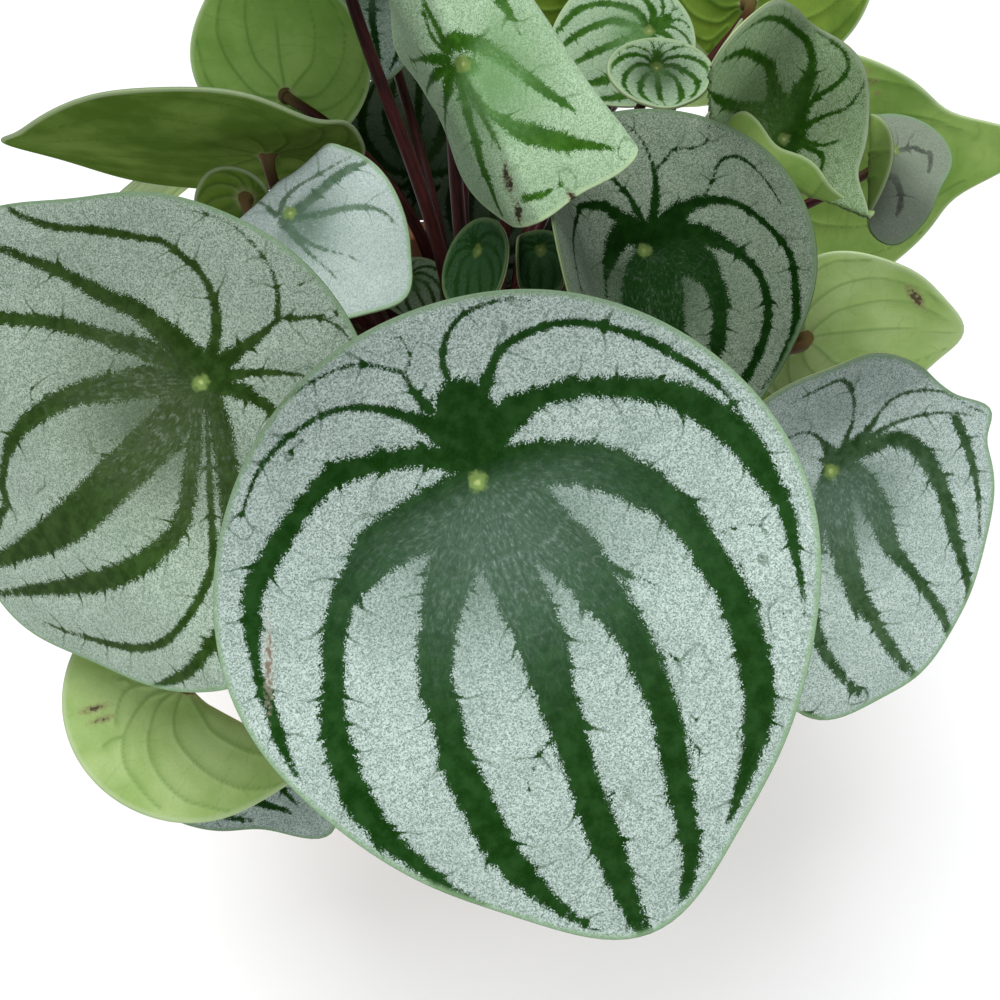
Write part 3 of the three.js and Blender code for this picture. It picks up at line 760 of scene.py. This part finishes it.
def stalk_path(leaf):
    """The stalk's middle line, from its foot in the soil to just below its blade."""
    up = leaf_axes(leaf["face"])[2]
    x, y = leaf["root"]
    foot = soil_height(math.hypot(x, y))
    start = np.array([x, y, foot + STALK_STRAIGHT])
    top = np.array(leaf["at"]) - up * (BLADE_THICKNESS / 2 + GAP)
    lift = np.array([x, y, start[2] + leaf["rise"]])
    meet = top - up * leaf.get("reach", STALK_REACH) * np.linalg.norm(start - top)
    t = np.linspace(0, 1, STALK_STEPS)[:, None]
    bend = (1 - t) ** 3 * start + 3 * (1 - t) ** 2 * t * lift + 3 * (1 - t) * t**2 * meet + t**3 * top
    below = [[x, y, SOIL_EDGE - STALK_DEPTH + 0.5], [x, y, foot - 3], [x, y, foot]]
    return np.concatenate([below, bend[:-1], [top - up * 1.2, top - up * 0.4, top]])


def tube(path, radii, sides):
    """Rings round a path that don't twist along it."""
    tangent = np.gradient(path, axis=0)
    tangent /= np.linalg.norm(tangent, axis=1, keepdims=True)
    side = np.array([1.0, 0, 0])
    angle = turns(sides)[:, None]
    rows = []
    for p, t, r in zip(path, tangent, radii):
        side = side - t * (side @ t)
        side /= np.linalg.norm(side)
        rows.append(p + r * (np.cos(angle) * side + np.sin(angle) * np.cross(t, side)))
    return np.array(rows)


def stalk(name, leaf, number):
    path = stalk_path(leaf)
    run = np.concatenate([[0], np.cumsum(np.linalg.norm(np.diff(path, axis=0), axis=1))])
    length = run[-1]
    share = run / length
    slim = min(1, 0.72 + leaf["half"] / 120)
    radii = slim * np.interp(share, *zip(*STALK_TAPER))
    radii = radii + slim * STALK_FLARE * np.exp(-(((length - run) / STALK_FLARE_REACH) ** 2))
    rings = tube(path, radii, STALK_SIDES)
    points = np.concatenate([rings.reshape(-1, 3), [path[0], path[-1]]])
    quads, fans, _ = closed_faces(len(path), STALK_SIDES)
    mesh = make_mesh("stalk_" + name, points, quads[:, ::-1], fans)
    grain, around = np.zeros(rings.shape), np.zeros(rings.shape)
    grain[..., 0] = run[:, None]
    grain[..., 1] = share[:, None]
    grain[..., 2] = number * STALK_SEED
    around[..., 0] = np.cos(turns(STALK_SIDES))
    around[..., 1] = np.sin(turns(STALK_SIDES))
    store(mesh, "run", grain, [[0, 0, 0], [length, 1, 0]])
    store(mesh, "round", around, np.zeros((2, 3)))
    add_piece("stalk_" + name, mesh, [STALK], ["leaf_" + name + "_petiole"])


# Materials


class Graph:
    """A material's nodes, built by plain calls."""

    def __init__(self, name):
        self.material = bpy.data.materials.new(name)
        self.material.use_nodes = True
        self.tree = self.material.node_tree
        self.tree.nodes.clear()

    def feed(self, socket, value):
        if isinstance(value, bpy.types.NodeSocket):
            self.tree.links.new(value, socket)
        else:
            socket.default_value = value

    def add(self, kind, inputs=(), **settings):
        """A node with its settings, and its inputs fed by name or number."""
        node = self.tree.nodes.new(kind)
        for key, value in settings.items():
            setattr(node, key, value)
        for key, value in dict(inputs).items():
            self.feed(node.inputs[key], value)
        return node.outputs

    def split(self, vector):
        return tuple(self.add("ShaderNodeSeparateXYZ", {0: vector}))

    def join(self, x, y, z):
        return self.add("ShaderNodeCombineXYZ", {0: x, 1: y, 2: z})[0]

    def fields(self, name):
        """The three numbers that the mesh stores under a name."""
        return self.split(self.add("ShaderNodeAttribute", attribute_name=name)["Vector"])

    def object_place(self):
        return self.add("ShaderNodeTexCoord")["Object"]

    def math(self, operation, *values):
        return self.add("ShaderNodeMath", enumerate(values), operation=operation)[0]

    def plus(self, a, b):
        return self.math("ADD", a, b)

    def times(self, a, b):
        return self.math("MULTIPLY", a, b)

    def scaled(self, value, factor, offset):
        return self.math("MULTIPLY_ADD", value, factor, offset)

    def centred(self, value, swing):
        """A number from 0 to 1 turned to one from minus to plus half the swing."""
        return self.scaled(value, swing, -swing / 2)

    def span(self, value, low, high, start=0.0, end=1.0, kind="SMOOTHSTEP"):
        inputs = {"Value": value, "From Min": low, "From Max": high, "To Min": start, "To Max": end}
        return self.add("ShaderNodeMapRange", inputs, interpolation_type=kind)["Result"]

    def noise(self, vector, scale, detail=2.0, rough=0.5):
        inputs = {"Vector": vector, "Scale": scale, "Detail": detail, "Roughness": rough}
        return self.add("ShaderNodeTexNoise", inputs)["Fac"]

    def cells(self, vector):
        """Distance to the nearest wall between cells about 1 apart."""
        return self.add("ShaderNodeTexVoronoi", {"Vector": vector, "Scale": 1.0},
                        feature="DISTANCE_TO_EDGE")["Distance"]

    def rungs(self, value):
        """Distance to the nearest of the lines that stand about 1 apart along a value."""
        return self.add("ShaderNodeTexVoronoi", {"W": value, "Scale": 1.0}, voronoi_dimensions="1D",
                        feature="DISTANCE_TO_EDGE")["Distance"]

    def specks(self, vector, scale):
        """Three random numbers for each small cell."""
        return self.split(self.add("ShaderNodeTexVoronoi", {"Vector": vector, "Scale": scale})["Color"])

    def mix(self, factor, a, b):
        node = self.tree.nodes.new("ShaderNodeMix")
        node.data_type = "RGBA"
        self.feed(node.inputs[0], factor)
        for socket, value in ((node.inputs[6], a), (node.inputs[7], b)):
            self.feed(socket, value if isinstance(value, bpy.types.NodeSocket) else (*value, 1))
        return node.outputs[2]

    def tinted(self, colour, other, value, low, high, most=1.0):
        """Turns a colour to another, by up to most, as a value goes from low to high."""
        return self.mix(self.span(value, low, high, 0.0, most), colour, other)

    def bump(self, height, strength, distance):
        inputs = {"Strength": strength, "Distance": distance, "Height": height}
        return self.add("ShaderNodeBump", inputs)["Normal"]

    def finish(self, colour, roughness, normal=None, gloss=0.5):
        inputs = {"Roughness": roughness, "Specular IOR Level": gloss}
        inputs["Base Color"] = colour
        if normal is not None:
            inputs["Normal"] = normal
        shader = self.add("ShaderNodeBsdfPrincipled", inputs)[0]
        self.add("ShaderNodeOutputMaterial", {0: shader})
        return self.material


class LeafGraph(Graph):
    """A leaf material's nodes, with the fields that a blade's mesh stores."""

    def __init__(self, name):
        super().__init__(name)
        self.run, self.away, self.past = self.fields("flow")
        self.x, self.y, self.margin = self.fields("plane")
        self.seed, self.scar, self.sheen_zone = self.fields("marks")
        self.gap, self.wide, self.painted_light = self.fields("strip")
        self.place = self.join(self.x, self.y, self.seed)

    def from_spot(self):
        """Distance in mm from the stalk's spot."""
        return self.math("SQRT", self.plus(self.times(self.x, self.x), self.times(self.y, self.y)))

    def frayed_scar(self):
        return self.plus(self.scar, self.centred(self.noise(self.place, 1.3, 3.0), 1.6))

    def shaded(self, colour):
        # Painted shade: the colour turns towards black as the stored painted light falls.
        return self.mix(self.math("SUBTRACT", 1.0, self.painted_light), colour, (0.0, 0.0, 0.0))


def silver_skin(g, light, dark):
    """The silver and its grain, and two noises that fray the bands too."""
    speck, pick, _ = g.specks(g.place, 4.6)
    powder = g.noise(g.place, 3.4, 2.0, 0.7)
    grain = g.scaled(speck, 0.55, g.times(powder, 0.45))
    silver = g.mix(g.span(grain, 0.22, 0.72, kind="LINEAR"), dark, light)
    silver = g.tinted(silver, dark, g.noise(g.place, 0.09, 3.0, 0.55), 0.35, 0.75, 0.22)
    return silver, grain, pick, powder


def band_lines(g, pick, powder):
    """Distance past the torn edge of the bands, and the veinlets that cross the silver."""
    slant = g.scaled(g.away, -0.6, g.run)
    line = g.scaled(g.noise(g.place, 0.11, 2.0, 0.5), 1.1, g.times(slant, 0.14))
    rung = g.times(g.rungs(g.plus(line, g.seed)), 7.0)
    lively = g.noise(g.join(g.times(line, 0.9), g.seed, 0.0), 1.0, 2.0, 0.6)
    spike = g.times(g.span(rung, 0.6, 0.0, kind="LINEAR"), g.span(lively, 0.35, 0.7))
    teeth = g.noise(g.join(g.times(slant, 0.55), g.times(g.away, 0.12), g.seed), 1.0, 4.0, 0.68)
    shift = g.plus(g.centred(teeth, 2.6), g.centred(pick, 1.0))
    shift = g.scaled(spike, -1.9, g.plus(shift, g.centred(powder, 1.4)))
    edge = g.scaled(shift, g.span(g.wide, 0.6, 4.0, 0.35, 1.0), g.past)

    thin = g.times(g.span(g.past, 0.0, 8.0, 0.2, 0.09), g.scaled(pick, 1.2, 0.4))
    cross = g.span(g.math("SUBTRACT", rung, thin), 0.12, -0.02)
    faint = g.times(g.span(g.past, 0.0, 7.0, 0.65, 0.06), g.span(lively, 0.35, 0.6, 0.15, 1.0))
    cross = g.times(g.times(cross, faint), g.span(g.gap, 0.4, 1.8))
    return edge, g.times(cross, g.span(edge, -0.3, 0.3))


def band_green(g, edge, pick, band, flank):
    green = g.tinted(band, flank, g.noise(g.place, 0.3, 3.0, 0.6), 0.35, 0.7)
    green = g.tinted(green, flank, pick, 0.5, 1.0, 0.3)
    return g.tinted(green, flank, edge, -1.3, 0.0, 0.3)


def sheen_veiled(g, colour, satin, light):
    """Lays the smooth, dark part in front of the stalk's spot over a colour, with pale wisps of painted
    sheen.
    """
    sheen_wisps = g.noise(g.join(g.times(g.run, 0.7), g.times(g.away, 1.5), g.seed), 1.0, 5.0, 0.75)
    sheen_veil = g.tinted(satin, light, sheen_wisps, 0.3, 0.75)
    sheen_cover = g.times(g.sheen_zone, g.span(sheen_wisps, 0.25, 0.65, 0.5, 1.0))
    return g.mix(sheen_cover, colour, g.tinted(satin, sheen_veil, sheen_wisps, 0.44, 0.82, 0.42))


def rimmed(g, colour, rim):
    """Adds the blade's pale lip, and the thin brown line of its very margin."""
    uneven = g.plus(g.margin, g.centred(g.noise(g.place, 0.6, 2.0), 1.2))
    colour = g.tinted(colour, rim, uneven, 1.6, 0.4, 0.8)
    return g.tinted(colour, (0.16, 0.13, 0.07), g.margin, 0.22, 0.0, 0.6)


def leaf_top(name, light, dark, band, flank, satin, rim, torn, scab):
    g = LeafGraph(name)
    silver, grain, pick, powder = silver_skin(g, light, dark)
    edge, cross = band_lines(g, pick, powder)
    inside = g.span(edge, 0.2, -0.2)
    colour = g.mix(inside, silver, band_green(g, edge, pick, band, flank))
    colour = g.mix(g.times(cross, g.span(g.margin, 0.5, 2.0)), colour, flank)
    colour = rimmed(g, sheen_veiled(g, colour, satin, light), rim)
    spot = g.plus(g.from_spot(), g.centred(g.noise(g.place, 0.8, 2.0), 2.0))
    colour = g.tinted(colour, (0.22, 0.33, 0.09), spot, 2.2, 1.1, 0.85)
    colour = g.tinted(colour, (0.44, 0.49, 0.2), spot, 0.9, 0.2, 0.6)
    scar = g.frayed_scar()
    colour = g.tinted(colour, torn, scar, 0.7, 0.0, 0.5)
    colour = g.tinted(colour, scab, scar, 0.25, -0.15, 0.9)
    relief = g.plus(g.times(grain, g.scaled(inside, -0.7, 1.0)), g.times(inside, -0.5))
    relief = g.plus(relief, g.times(cross, -0.6))
    rough = g.scaled(grain, 0.1, g.scaled(inside, -0.08, 0.46))
    return g.finish(g.shaded(colour), rough, g.bump(relief, 0.3, 0.0002), gloss=0.02)


def leaf_under(name, base, deep, vein, gloss=0.12):
    g = LeafGraph(name)
    fine = g.noise(g.place, 1.8, 3.0, 0.6)
    colour = g.tinted(base, deep, g.noise(g.place, 0.06, 3.0, 0.55), 0.3, 0.7)
    colour = g.tinted(colour, vein, fine, 0.35, 0.75, 0.16)
    colour = g.tinted(colour, deep, g.past, 3.0, -1.0, 0.22)
    colour = g.tinted(colour, vein, g.away, 0.75, 0.1, 0.6)
    net = g.cells(g.join(g.times(g.run, 0.09), g.times(g.away, 0.03), g.seed))
    colour = g.tinted(colour, vein, net, 0.03, 0.0, 0.18)
    colour = g.tinted(colour, (0.55, 0.66, 0.42), g.margin, 1.4, 0.3, 0.5)
    colour = g.tinted(colour, (0.4, 0.42, 0.2), g.from_spot(), 4.0, 1.5, 0.5)
    scar = g.frayed_scar()
    colour = g.tinted(colour, (0.3, 0.24, 0.12), scar, 0.9, 0.1, 0.5)
    colour = g.tinted(colour, (0.07, 0.035, 0.03), scar, 0.2, -0.3, 0.9)
    relief = g.plus(g.times(fine, 0.5), g.span(g.away, 1.2, 0.0, 0.0, 0.8))
    return g.finish(g.shaded(colour), g.scaled(fine, 0.12, 0.36), g.bump(relief, 0.3, 0.0003), gloss)


def stalk_material():
    g = Graph("stalk")
    run, share, seed = g.fields("run")
    round_x, round_y, _ = g.fields("round")

    def skin(along, wrap):
        return g.join(g.times(run, along), g.scaled(round_x, wrap, seed), g.times(round_y, wrap))

    streak = g.noise(skin(0.12, 1.5), 1.0, 4.0, 0.6)
    fleck = g.noise(skin(1.6, 3.0), 1.0, 2.0, 0.7)
    colour = g.tinted((0.05, 0.011, 0.01), (0.016, 0.005, 0.005), streak, 0.3, 0.72)
    colour = g.tinted(colour, (0.13, 0.045, 0.035), fleck, 0.62, 0.78, 0.4)
    colour = g.tinted(colour, (0.25, 0.2, 0.07), share, 0.86, 1.0, 0.35)
    colour = g.tinted(colour, (0.1, 0.045, 0.025), share, 0.12, 0.0, 0.5)
    normal = g.bump(g.plus(streak, g.times(fleck, 0.4)), 0.25, 0.0003)
    return g.finish(colour, g.scaled(fleck, 0.2, 0.28), normal, gloss=0.09)


def clay_material():
    g = Graph("clay")
    place = g.object_place()
    z = g.split(place)[2]
    fine = g.noise(place, 900.0, 3.0, 0.7)
    bloom = g.noise(place, 45.0, 5.0, 0.65)
    colour = g.tinted((0.49, 0.185, 0.085), (0.58, 0.26, 0.14), g.noise(place, 22.0, 4.0, 0.6), 0.3, 0.7)
    colour = g.tinted(colour, (0.68, 0.36, 0.22), fine, 0.3, 0.75, 0.35)
    colour = g.tinted(colour, (0.24, 0.09, 0.05), g.noise(place, 260.0, 2.0, 0.6), 0.68, 0.78, 0.6)
    height = g.plus(z, g.centred(bloom, 0.05))
    band = g.times(g.span(height, 0.02, 0.045), g.span(height, 0.085, 0.06))
    colour = g.mix(g.times(g.span(bloom, 0.45, 0.72, 0.0, 0.35), band), colour, (0.78, 0.68, 0.58))
    colour = g.tinted(colour, (0.2, 0.1, 0.06), z, 0.012, 0.0, 0.4)
    wheel = g.noise(g.join(0.0, 0.0, z), 900.0, 2.0, 0.5)
    normal = g.bump(g.plus(g.times(fine, 0.6), wheel), 0.35, 0.0006)
    return g.finish(colour, g.scaled(fine, 0.15, 0.78), normal)


def soil_material(name, dark, light, tint):
    g = Graph(name)
    crumbs = g.noise(g.object_place(), 420.0, 5.0, 0.7)
    patches = g.noise(g.object_place(), 60.0, 3.0, 0.6)
    colour = g.tinted(g.tinted(dark, light, crumbs, 0.35, 0.7), tint, patches, 0.45, 0.7, 0.5)
    return g.finish(colour, 0.92, g.bump(crumbs, 0.8, 0.001))


# The colour of the smooth zone before the stalk's spot is its own dark green with painted sheen in it.
SILVER = dict(light=(0.575, 0.69, 0.635), dark=(0.17, 0.24, 0.2), band=(0.006, 0.035, 0.003),
              flank=(0.018, 0.065, 0.013), satin=(0.085, 0.145, 0.1), rim=(0.22, 0.36, 0.19),
              torn=(0.42, 0.38, 0.3), scab=(0.2, 0.15, 0.11))
TOP_COLOURS = {
    "silver": SILVER,
    "sage": dict(light=(0.5, 0.6, 0.5), dark=(0.15, 0.23, 0.16), band=(0.014, 0.04, 0.004),
                 flank=(0.036, 0.08, 0.015), satin=(0.055, 0.085, 0.033)),
    "forest": dict(light=(0.46, 0.57, 0.43), dark=(0.13, 0.2, 0.125), band=(0.003, 0.026, 0.001),
                   flank=(0.009, 0.05, 0.004), satin=(0.016, 0.07, 0.012)),
    "mist": dict(light=(0.6, 0.71, 0.67), dark=(0.19, 0.27, 0.225), band=(0.017, 0.052, 0.012),
                 flank=(0.058, 0.115, 0.052)),
    "frost": dict(light=(0.5, 0.58, 0.56), dark=(0.28, 0.36, 0.33), band=(0.06, 0.12, 0.065),
                  flank=(0.14, 0.21, 0.15)),
    "grey": dict(light=(0.3, 0.355, 0.275), dark=(0.2, 0.25, 0.18), band=(0.06, 0.075, 0.055),
                 flank=(0.12, 0.14, 0.11), satin=(0.19, 0.24, 0.17)),
    # A plain top without silver bands, its colours made very dark as painted shade for young leaves deep in
    # the plant.
    "plain_painted_shade": dict(light=(0.07, 0.17, 0.07), dark=(0.03, 0.1, 0.03), band=(0.018, 0.07, 0.01),
                  flank=(0.027, 0.1, 0.018), satin=(0.045, 0.13, 0.045), rim=(0.2, 0.32, 0.14)),
    "mint": dict(light=(0.54, 0.72, 0.5), dark=(0.22, 0.36, 0.19), band=(0.02, 0.085, 0.003),
                 flank=(0.05, 0.155, 0.014), satin=(0.14, 0.3, 0.1), rim=(0.5, 0.66, 0.38),
                 torn=(0.2, 0.15, 0.07), scab=(0.02, 0.01, 0.006)),
    "lime": dict(light=(0.46, 0.64, 0.38), dark=(0.15, 0.27, 0.09), band=(0.013, 0.07, 0.001),
                 flank=(0.035, 0.125, 0.006), satin=(0.08, 0.19, 0.035), rim=(0.5, 0.64, 0.4)),
}
TOPS = {name: leaf_top("leaf_" + name, **{**SILVER, **colours})
        for name, colours in TOP_COLOURS.items()}
UNDERS = {
    "moss": leaf_under("under_moss", (0.15, 0.24, 0.05), (0.075, 0.14, 0.02), (0.06, 0.12, 0.02), 0.0),
    "pale": leaf_under("under_pale", (0.5, 0.66, 0.27), (0.33, 0.5, 0.14), (0.2, 0.34, 0.09)),
    "green": leaf_under("under_green", (0.33, 0.5, 0.13), (0.2, 0.36, 0.07), (0.12, 0.24, 0.04)),
    "olive": leaf_under("under_olive", (0.17, 0.28, 0.03), (0.08, 0.16, 0.012), (0.05, 0.11, 0.01)),
}
STALK = stalk_material()
CLAY = clay_material()
SOIL = soil_material("soil", (0.012, 0.008, 0.006), (0.06, 0.038, 0.025), (0.03, 0.02, 0.014))
BARK = soil_material("bark", (0.03, 0.016, 0.009), (0.13, 0.075, 0.04), (0.07, 0.04, 0.02))
PERLITE = soil_material("perlite", (0.55, 0.52, 0.47), (0.78, 0.76, 0.72), (0.62, 0.58, 0.5))


# Pot


def outer_radius(height):
    body_top = POT_RIM_RADIUS - RIM_STAND_OUT
    return POT_FOOT_RADIUS + (body_top - POT_FOOT_RADIUS) * height / (POT_HEIGHT - RIM_HEIGHT)


def inner_radius(height):
    return outer_radius(min(height, POT_HEIGHT - RIM_HEIGHT)) - POT_WALL


def arc(across, up, radius, start, end):
    """Points [radius, height] of an arc round a centre, between two angles in degrees."""
    return [(across + radius * math.cos(a), up + radius * math.sin(a))
            for a in np.radians(np.linspace(start, end, 6))]


def pot_profile():
    """The pot's outline as [radius, height]: out under its foot, up, over the rim and down inside."""
    band, top = POT_HEIGHT - RIM_HEIGHT, POT_HEIGHT
    foot_round, band_round, lip_round, inner_round = 1.5, 1.2, 1.6, 1.5
    profile = [(POT_AXIS, 0), (20, 0), (34, 0)]
    profile += arc(POT_FOOT_RADIUS - foot_round, foot_round, foot_round, -90, -10)
    profile += [(outer_radius(h), h) for h in (12, 26, 40, 54, 68, 80)]
    profile += [(outer_radius(band) - 0.2, band - 1.2), (outer_radius(band) + 0.5, band - 0.2)]
    profile += arc(POT_RIM_RADIUS - band_round, band + band_round, band_round, -90, 0)
    profile += [(POT_RIM_RADIUS - 0.3, band + 8), (POT_RIM_RADIUS - 0.2, band + 15)]
    profile += arc(POT_RIM_RADIUS - lip_round, top - lip_round, lip_round, 0, 90)
    profile += arc(inner_radius(top) + inner_round, top - inner_round, inner_round, 90, 180)
    profile += [(inner_radius(h), h) for h in (band, 40, POT_FLOOR)]
    return profile + [(20, POT_FLOOR), (POT_AXIS, POT_FLOOR)]


def pot():
    profile = pot_profile()
    rows = [[(r * math.cos(a), r * math.sin(a), h) for a in turns(POT_SIDES)] for r, h in profile]
    points = np.concatenate([np.array(rows).reshape(-1, 3), [[0, 0, 0], [0, 0, POT_FLOOR]]])
    quads, fans, _ = closed_faces(len(profile), POT_SIDES)
    piece = add_piece("clay_pot", make_mesh("clay_pot", points, quads, fans), [CLAY], ["pot"])
    cutters = []
    for a in turns(DRAIN_COUNT):
        place = (DRAIN_RING * math.cos(a) * MM, DRAIN_RING * math.sin(a) * MM, POT_FLOOR / 2 * MM)
        bpy.ops.mesh.primitive_cylinder_add(vertices=48, radius=DRAIN_RADIUS * MM,
                                            depth=(POT_FLOOR + 4) * MM, location=place)
        cutters.append(bpy.context.object)
        cut = piece.modifiers.new("drain", "BOOLEAN")
        cut.operation, cut.solver, cut.object = "DIFFERENCE", "EXACT", cutters[-1]
    evaluated = piece.evaluated_get(bpy.context.evaluated_depsgraph_get())
    cut_mesh = bpy.data.meshes.new_from_object(evaluated)
    piece.modifiers.clear()
    piece.data = cut_mesh
    for cutter in cutters:
        bpy.data.objects.remove(cutter)
    cut_mesh.set_sharp_from_angle(angle=math.radians(40))


# Soil


def soil():
    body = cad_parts["soil"]
    body.data.materials.clear()
    body.data.materials.append(SOIL)
    rings, count = 72, 220
    edge = inner_radius(POT_HEIGHT) - 0.15
    points = []
    for ring in range(1, rings + 1):
        radius = edge * ring / rings
        for a in turns(count):
            x, y = radius * math.cos(a), radius * math.sin(a)
            lump = noise.fractal(Vector((x * 0.16, y * 0.16, 3)), 0.7, 2.1, 5)
            coarse = noise.noise(Vector((x * 0.05, y * 0.05, 9)))
            height = soil_height(radius) + SOIL_LIFT + SOIL_LUMPS * lump + SOIL_WAVES * coarse
            points.append((x, y, height))
    points.append((0, 0, soil_height(0) + SOIL_LIFT))
    quads, _ = ring_faces(rings, count)
    spot = np.arange(count)
    fans = np.stack([np.full(count, len(points) - 1), spot, (spot + 1) % count], -1)
    mesh = make_mesh("soil_surface", points, quads[:, ::-1], fans)
    add_piece("soil_surface", mesh, [SOIL])


def crumbs():
    """Bark and perlite that lie on the soil, every ninth crumb of perlite."""
    rng = np.random.default_rng(7)
    bpy.ops.mesh.primitive_ico_sphere_add(subdivisions=2, radius=1)
    ball = bpy.context.object
    shape = np.array([v.co[:] for v in ball.data.vertices])
    faces = np.array([p.vertices[:] for p in ball.data.polygons])
    bpy.data.objects.remove(ball)
    points, fans, kinds = [], [], []
    for number in range(CRUMB_COUNT):
        is_perlite = number % 9 == 0
        radius = CRUMB_EDGE * math.sqrt(rng.uniform(0.0, 1))
        a = rng.uniform(0, 2 * math.pi)
        size = rng.uniform(1.4, 2.4) if is_perlite else rng.uniform(0.7, 2.1)
        stretch = rng.uniform(0.45, 1.0, 3) * size
        turn, _ = np.linalg.qr(rng.normal(size=(3, 3)))
        rough = np.array([1 + 0.28 * noise.noise(Vector(p * 1.4) + Vector((number, 0, 0)))
                          for p in shape])
        x, y = radius * math.cos(a), radius * math.sin(a)
        keep = math.hypot(x, y) + size
        if keep > CRUMB_LIMIT:
            x, y = x * CRUMB_PULLED_TO / keep, y * CRUMB_PULLED_TO / keep
        height = soil_height(math.hypot(x, y)) + 1.3 + 0.25 * size
        fans.append(faces + len(points) * len(shape))
        points.append((shape * rough[:, None] * stretch) @ turn + np.array([x, y, height]))
        kinds += [int(is_perlite)] * len(faces)
    mesh = make_mesh("soil_crumbs", np.concatenate(points), (), np.concatenate(fans), kinds)
    add_piece("soil_crumbs", mesh, [BARK, PERLITE])


# Stage


def softbox(name, place, size, watts):
    light = bpy.data.lights.new(name, "AREA")
    light.shape = "DISK"
    light.size = size
    light.energy = watts
    box = bpy.data.objects.new(name, light)
    box.location = place
    aim = Vector(LIGHTS_AIM) - Vector(place)
    box.rotation_euler = aim.to_track_quat("-Z", "Y").to_euler()
    bpy.context.scene.collection.objects.link(box)


def studio():
    bpy.ops.mesh.primitive_plane_add(size=8, location=(0, 0, 0))
    floor = bpy.context.object
    floor.name = "floor"
    g = Graph("floor")
    colour = g.mix(g.noise(g.object_place(), 3.0, 2.0, 0.5), (0.86, 0.86, 0.86), (0.9, 0.9, 0.9))
    floor.data.materials.append(g.finish(colour, 0.8))

    world = bpy.data.worlds.new("studio")
    world.use_nodes = True
    background = world.node_tree.nodes["Background"]
    background.inputs["Color"].default_value = (0.93, 0.96, 1.0, 1)
    background.inputs["Strength"].default_value = 0.42
    bpy.context.scene.world = world
    bpy.context.scene.view_settings.view_transform = "Standard"
    softbox("sky", (-0.25, 0.25, 1.3), 1.1, 19)
    softbox("fill", (0.5, -1.1, 0.9), 0.9, 7)


def camera():
    data = bpy.data.cameras.new("camera")
    data.sensor_width = CAMERA_SENSOR
    data.lens = CAMERA_LENS
    data.clip_start, data.clip_end = 0.01, 20
    body = bpy.data.objects.new("camera", data)
    body.location = [value * MM for value in CAMERA_AT]
    body.rotation_euler = (math.radians(CAMERA_TILT), 0, 0)
    bpy.context.scene.collection.objects.link(body)
    bpy.context.scene.camera = body


for number, (name, shape) in enumerate(LEAVES.items()):
    leaf = {**shape, **DRESS.get(name, {})}
    blade(name, leaf, number)
    stalk(name, leaf, number)
pot()
soil()
crumbs()
studio()
camera()
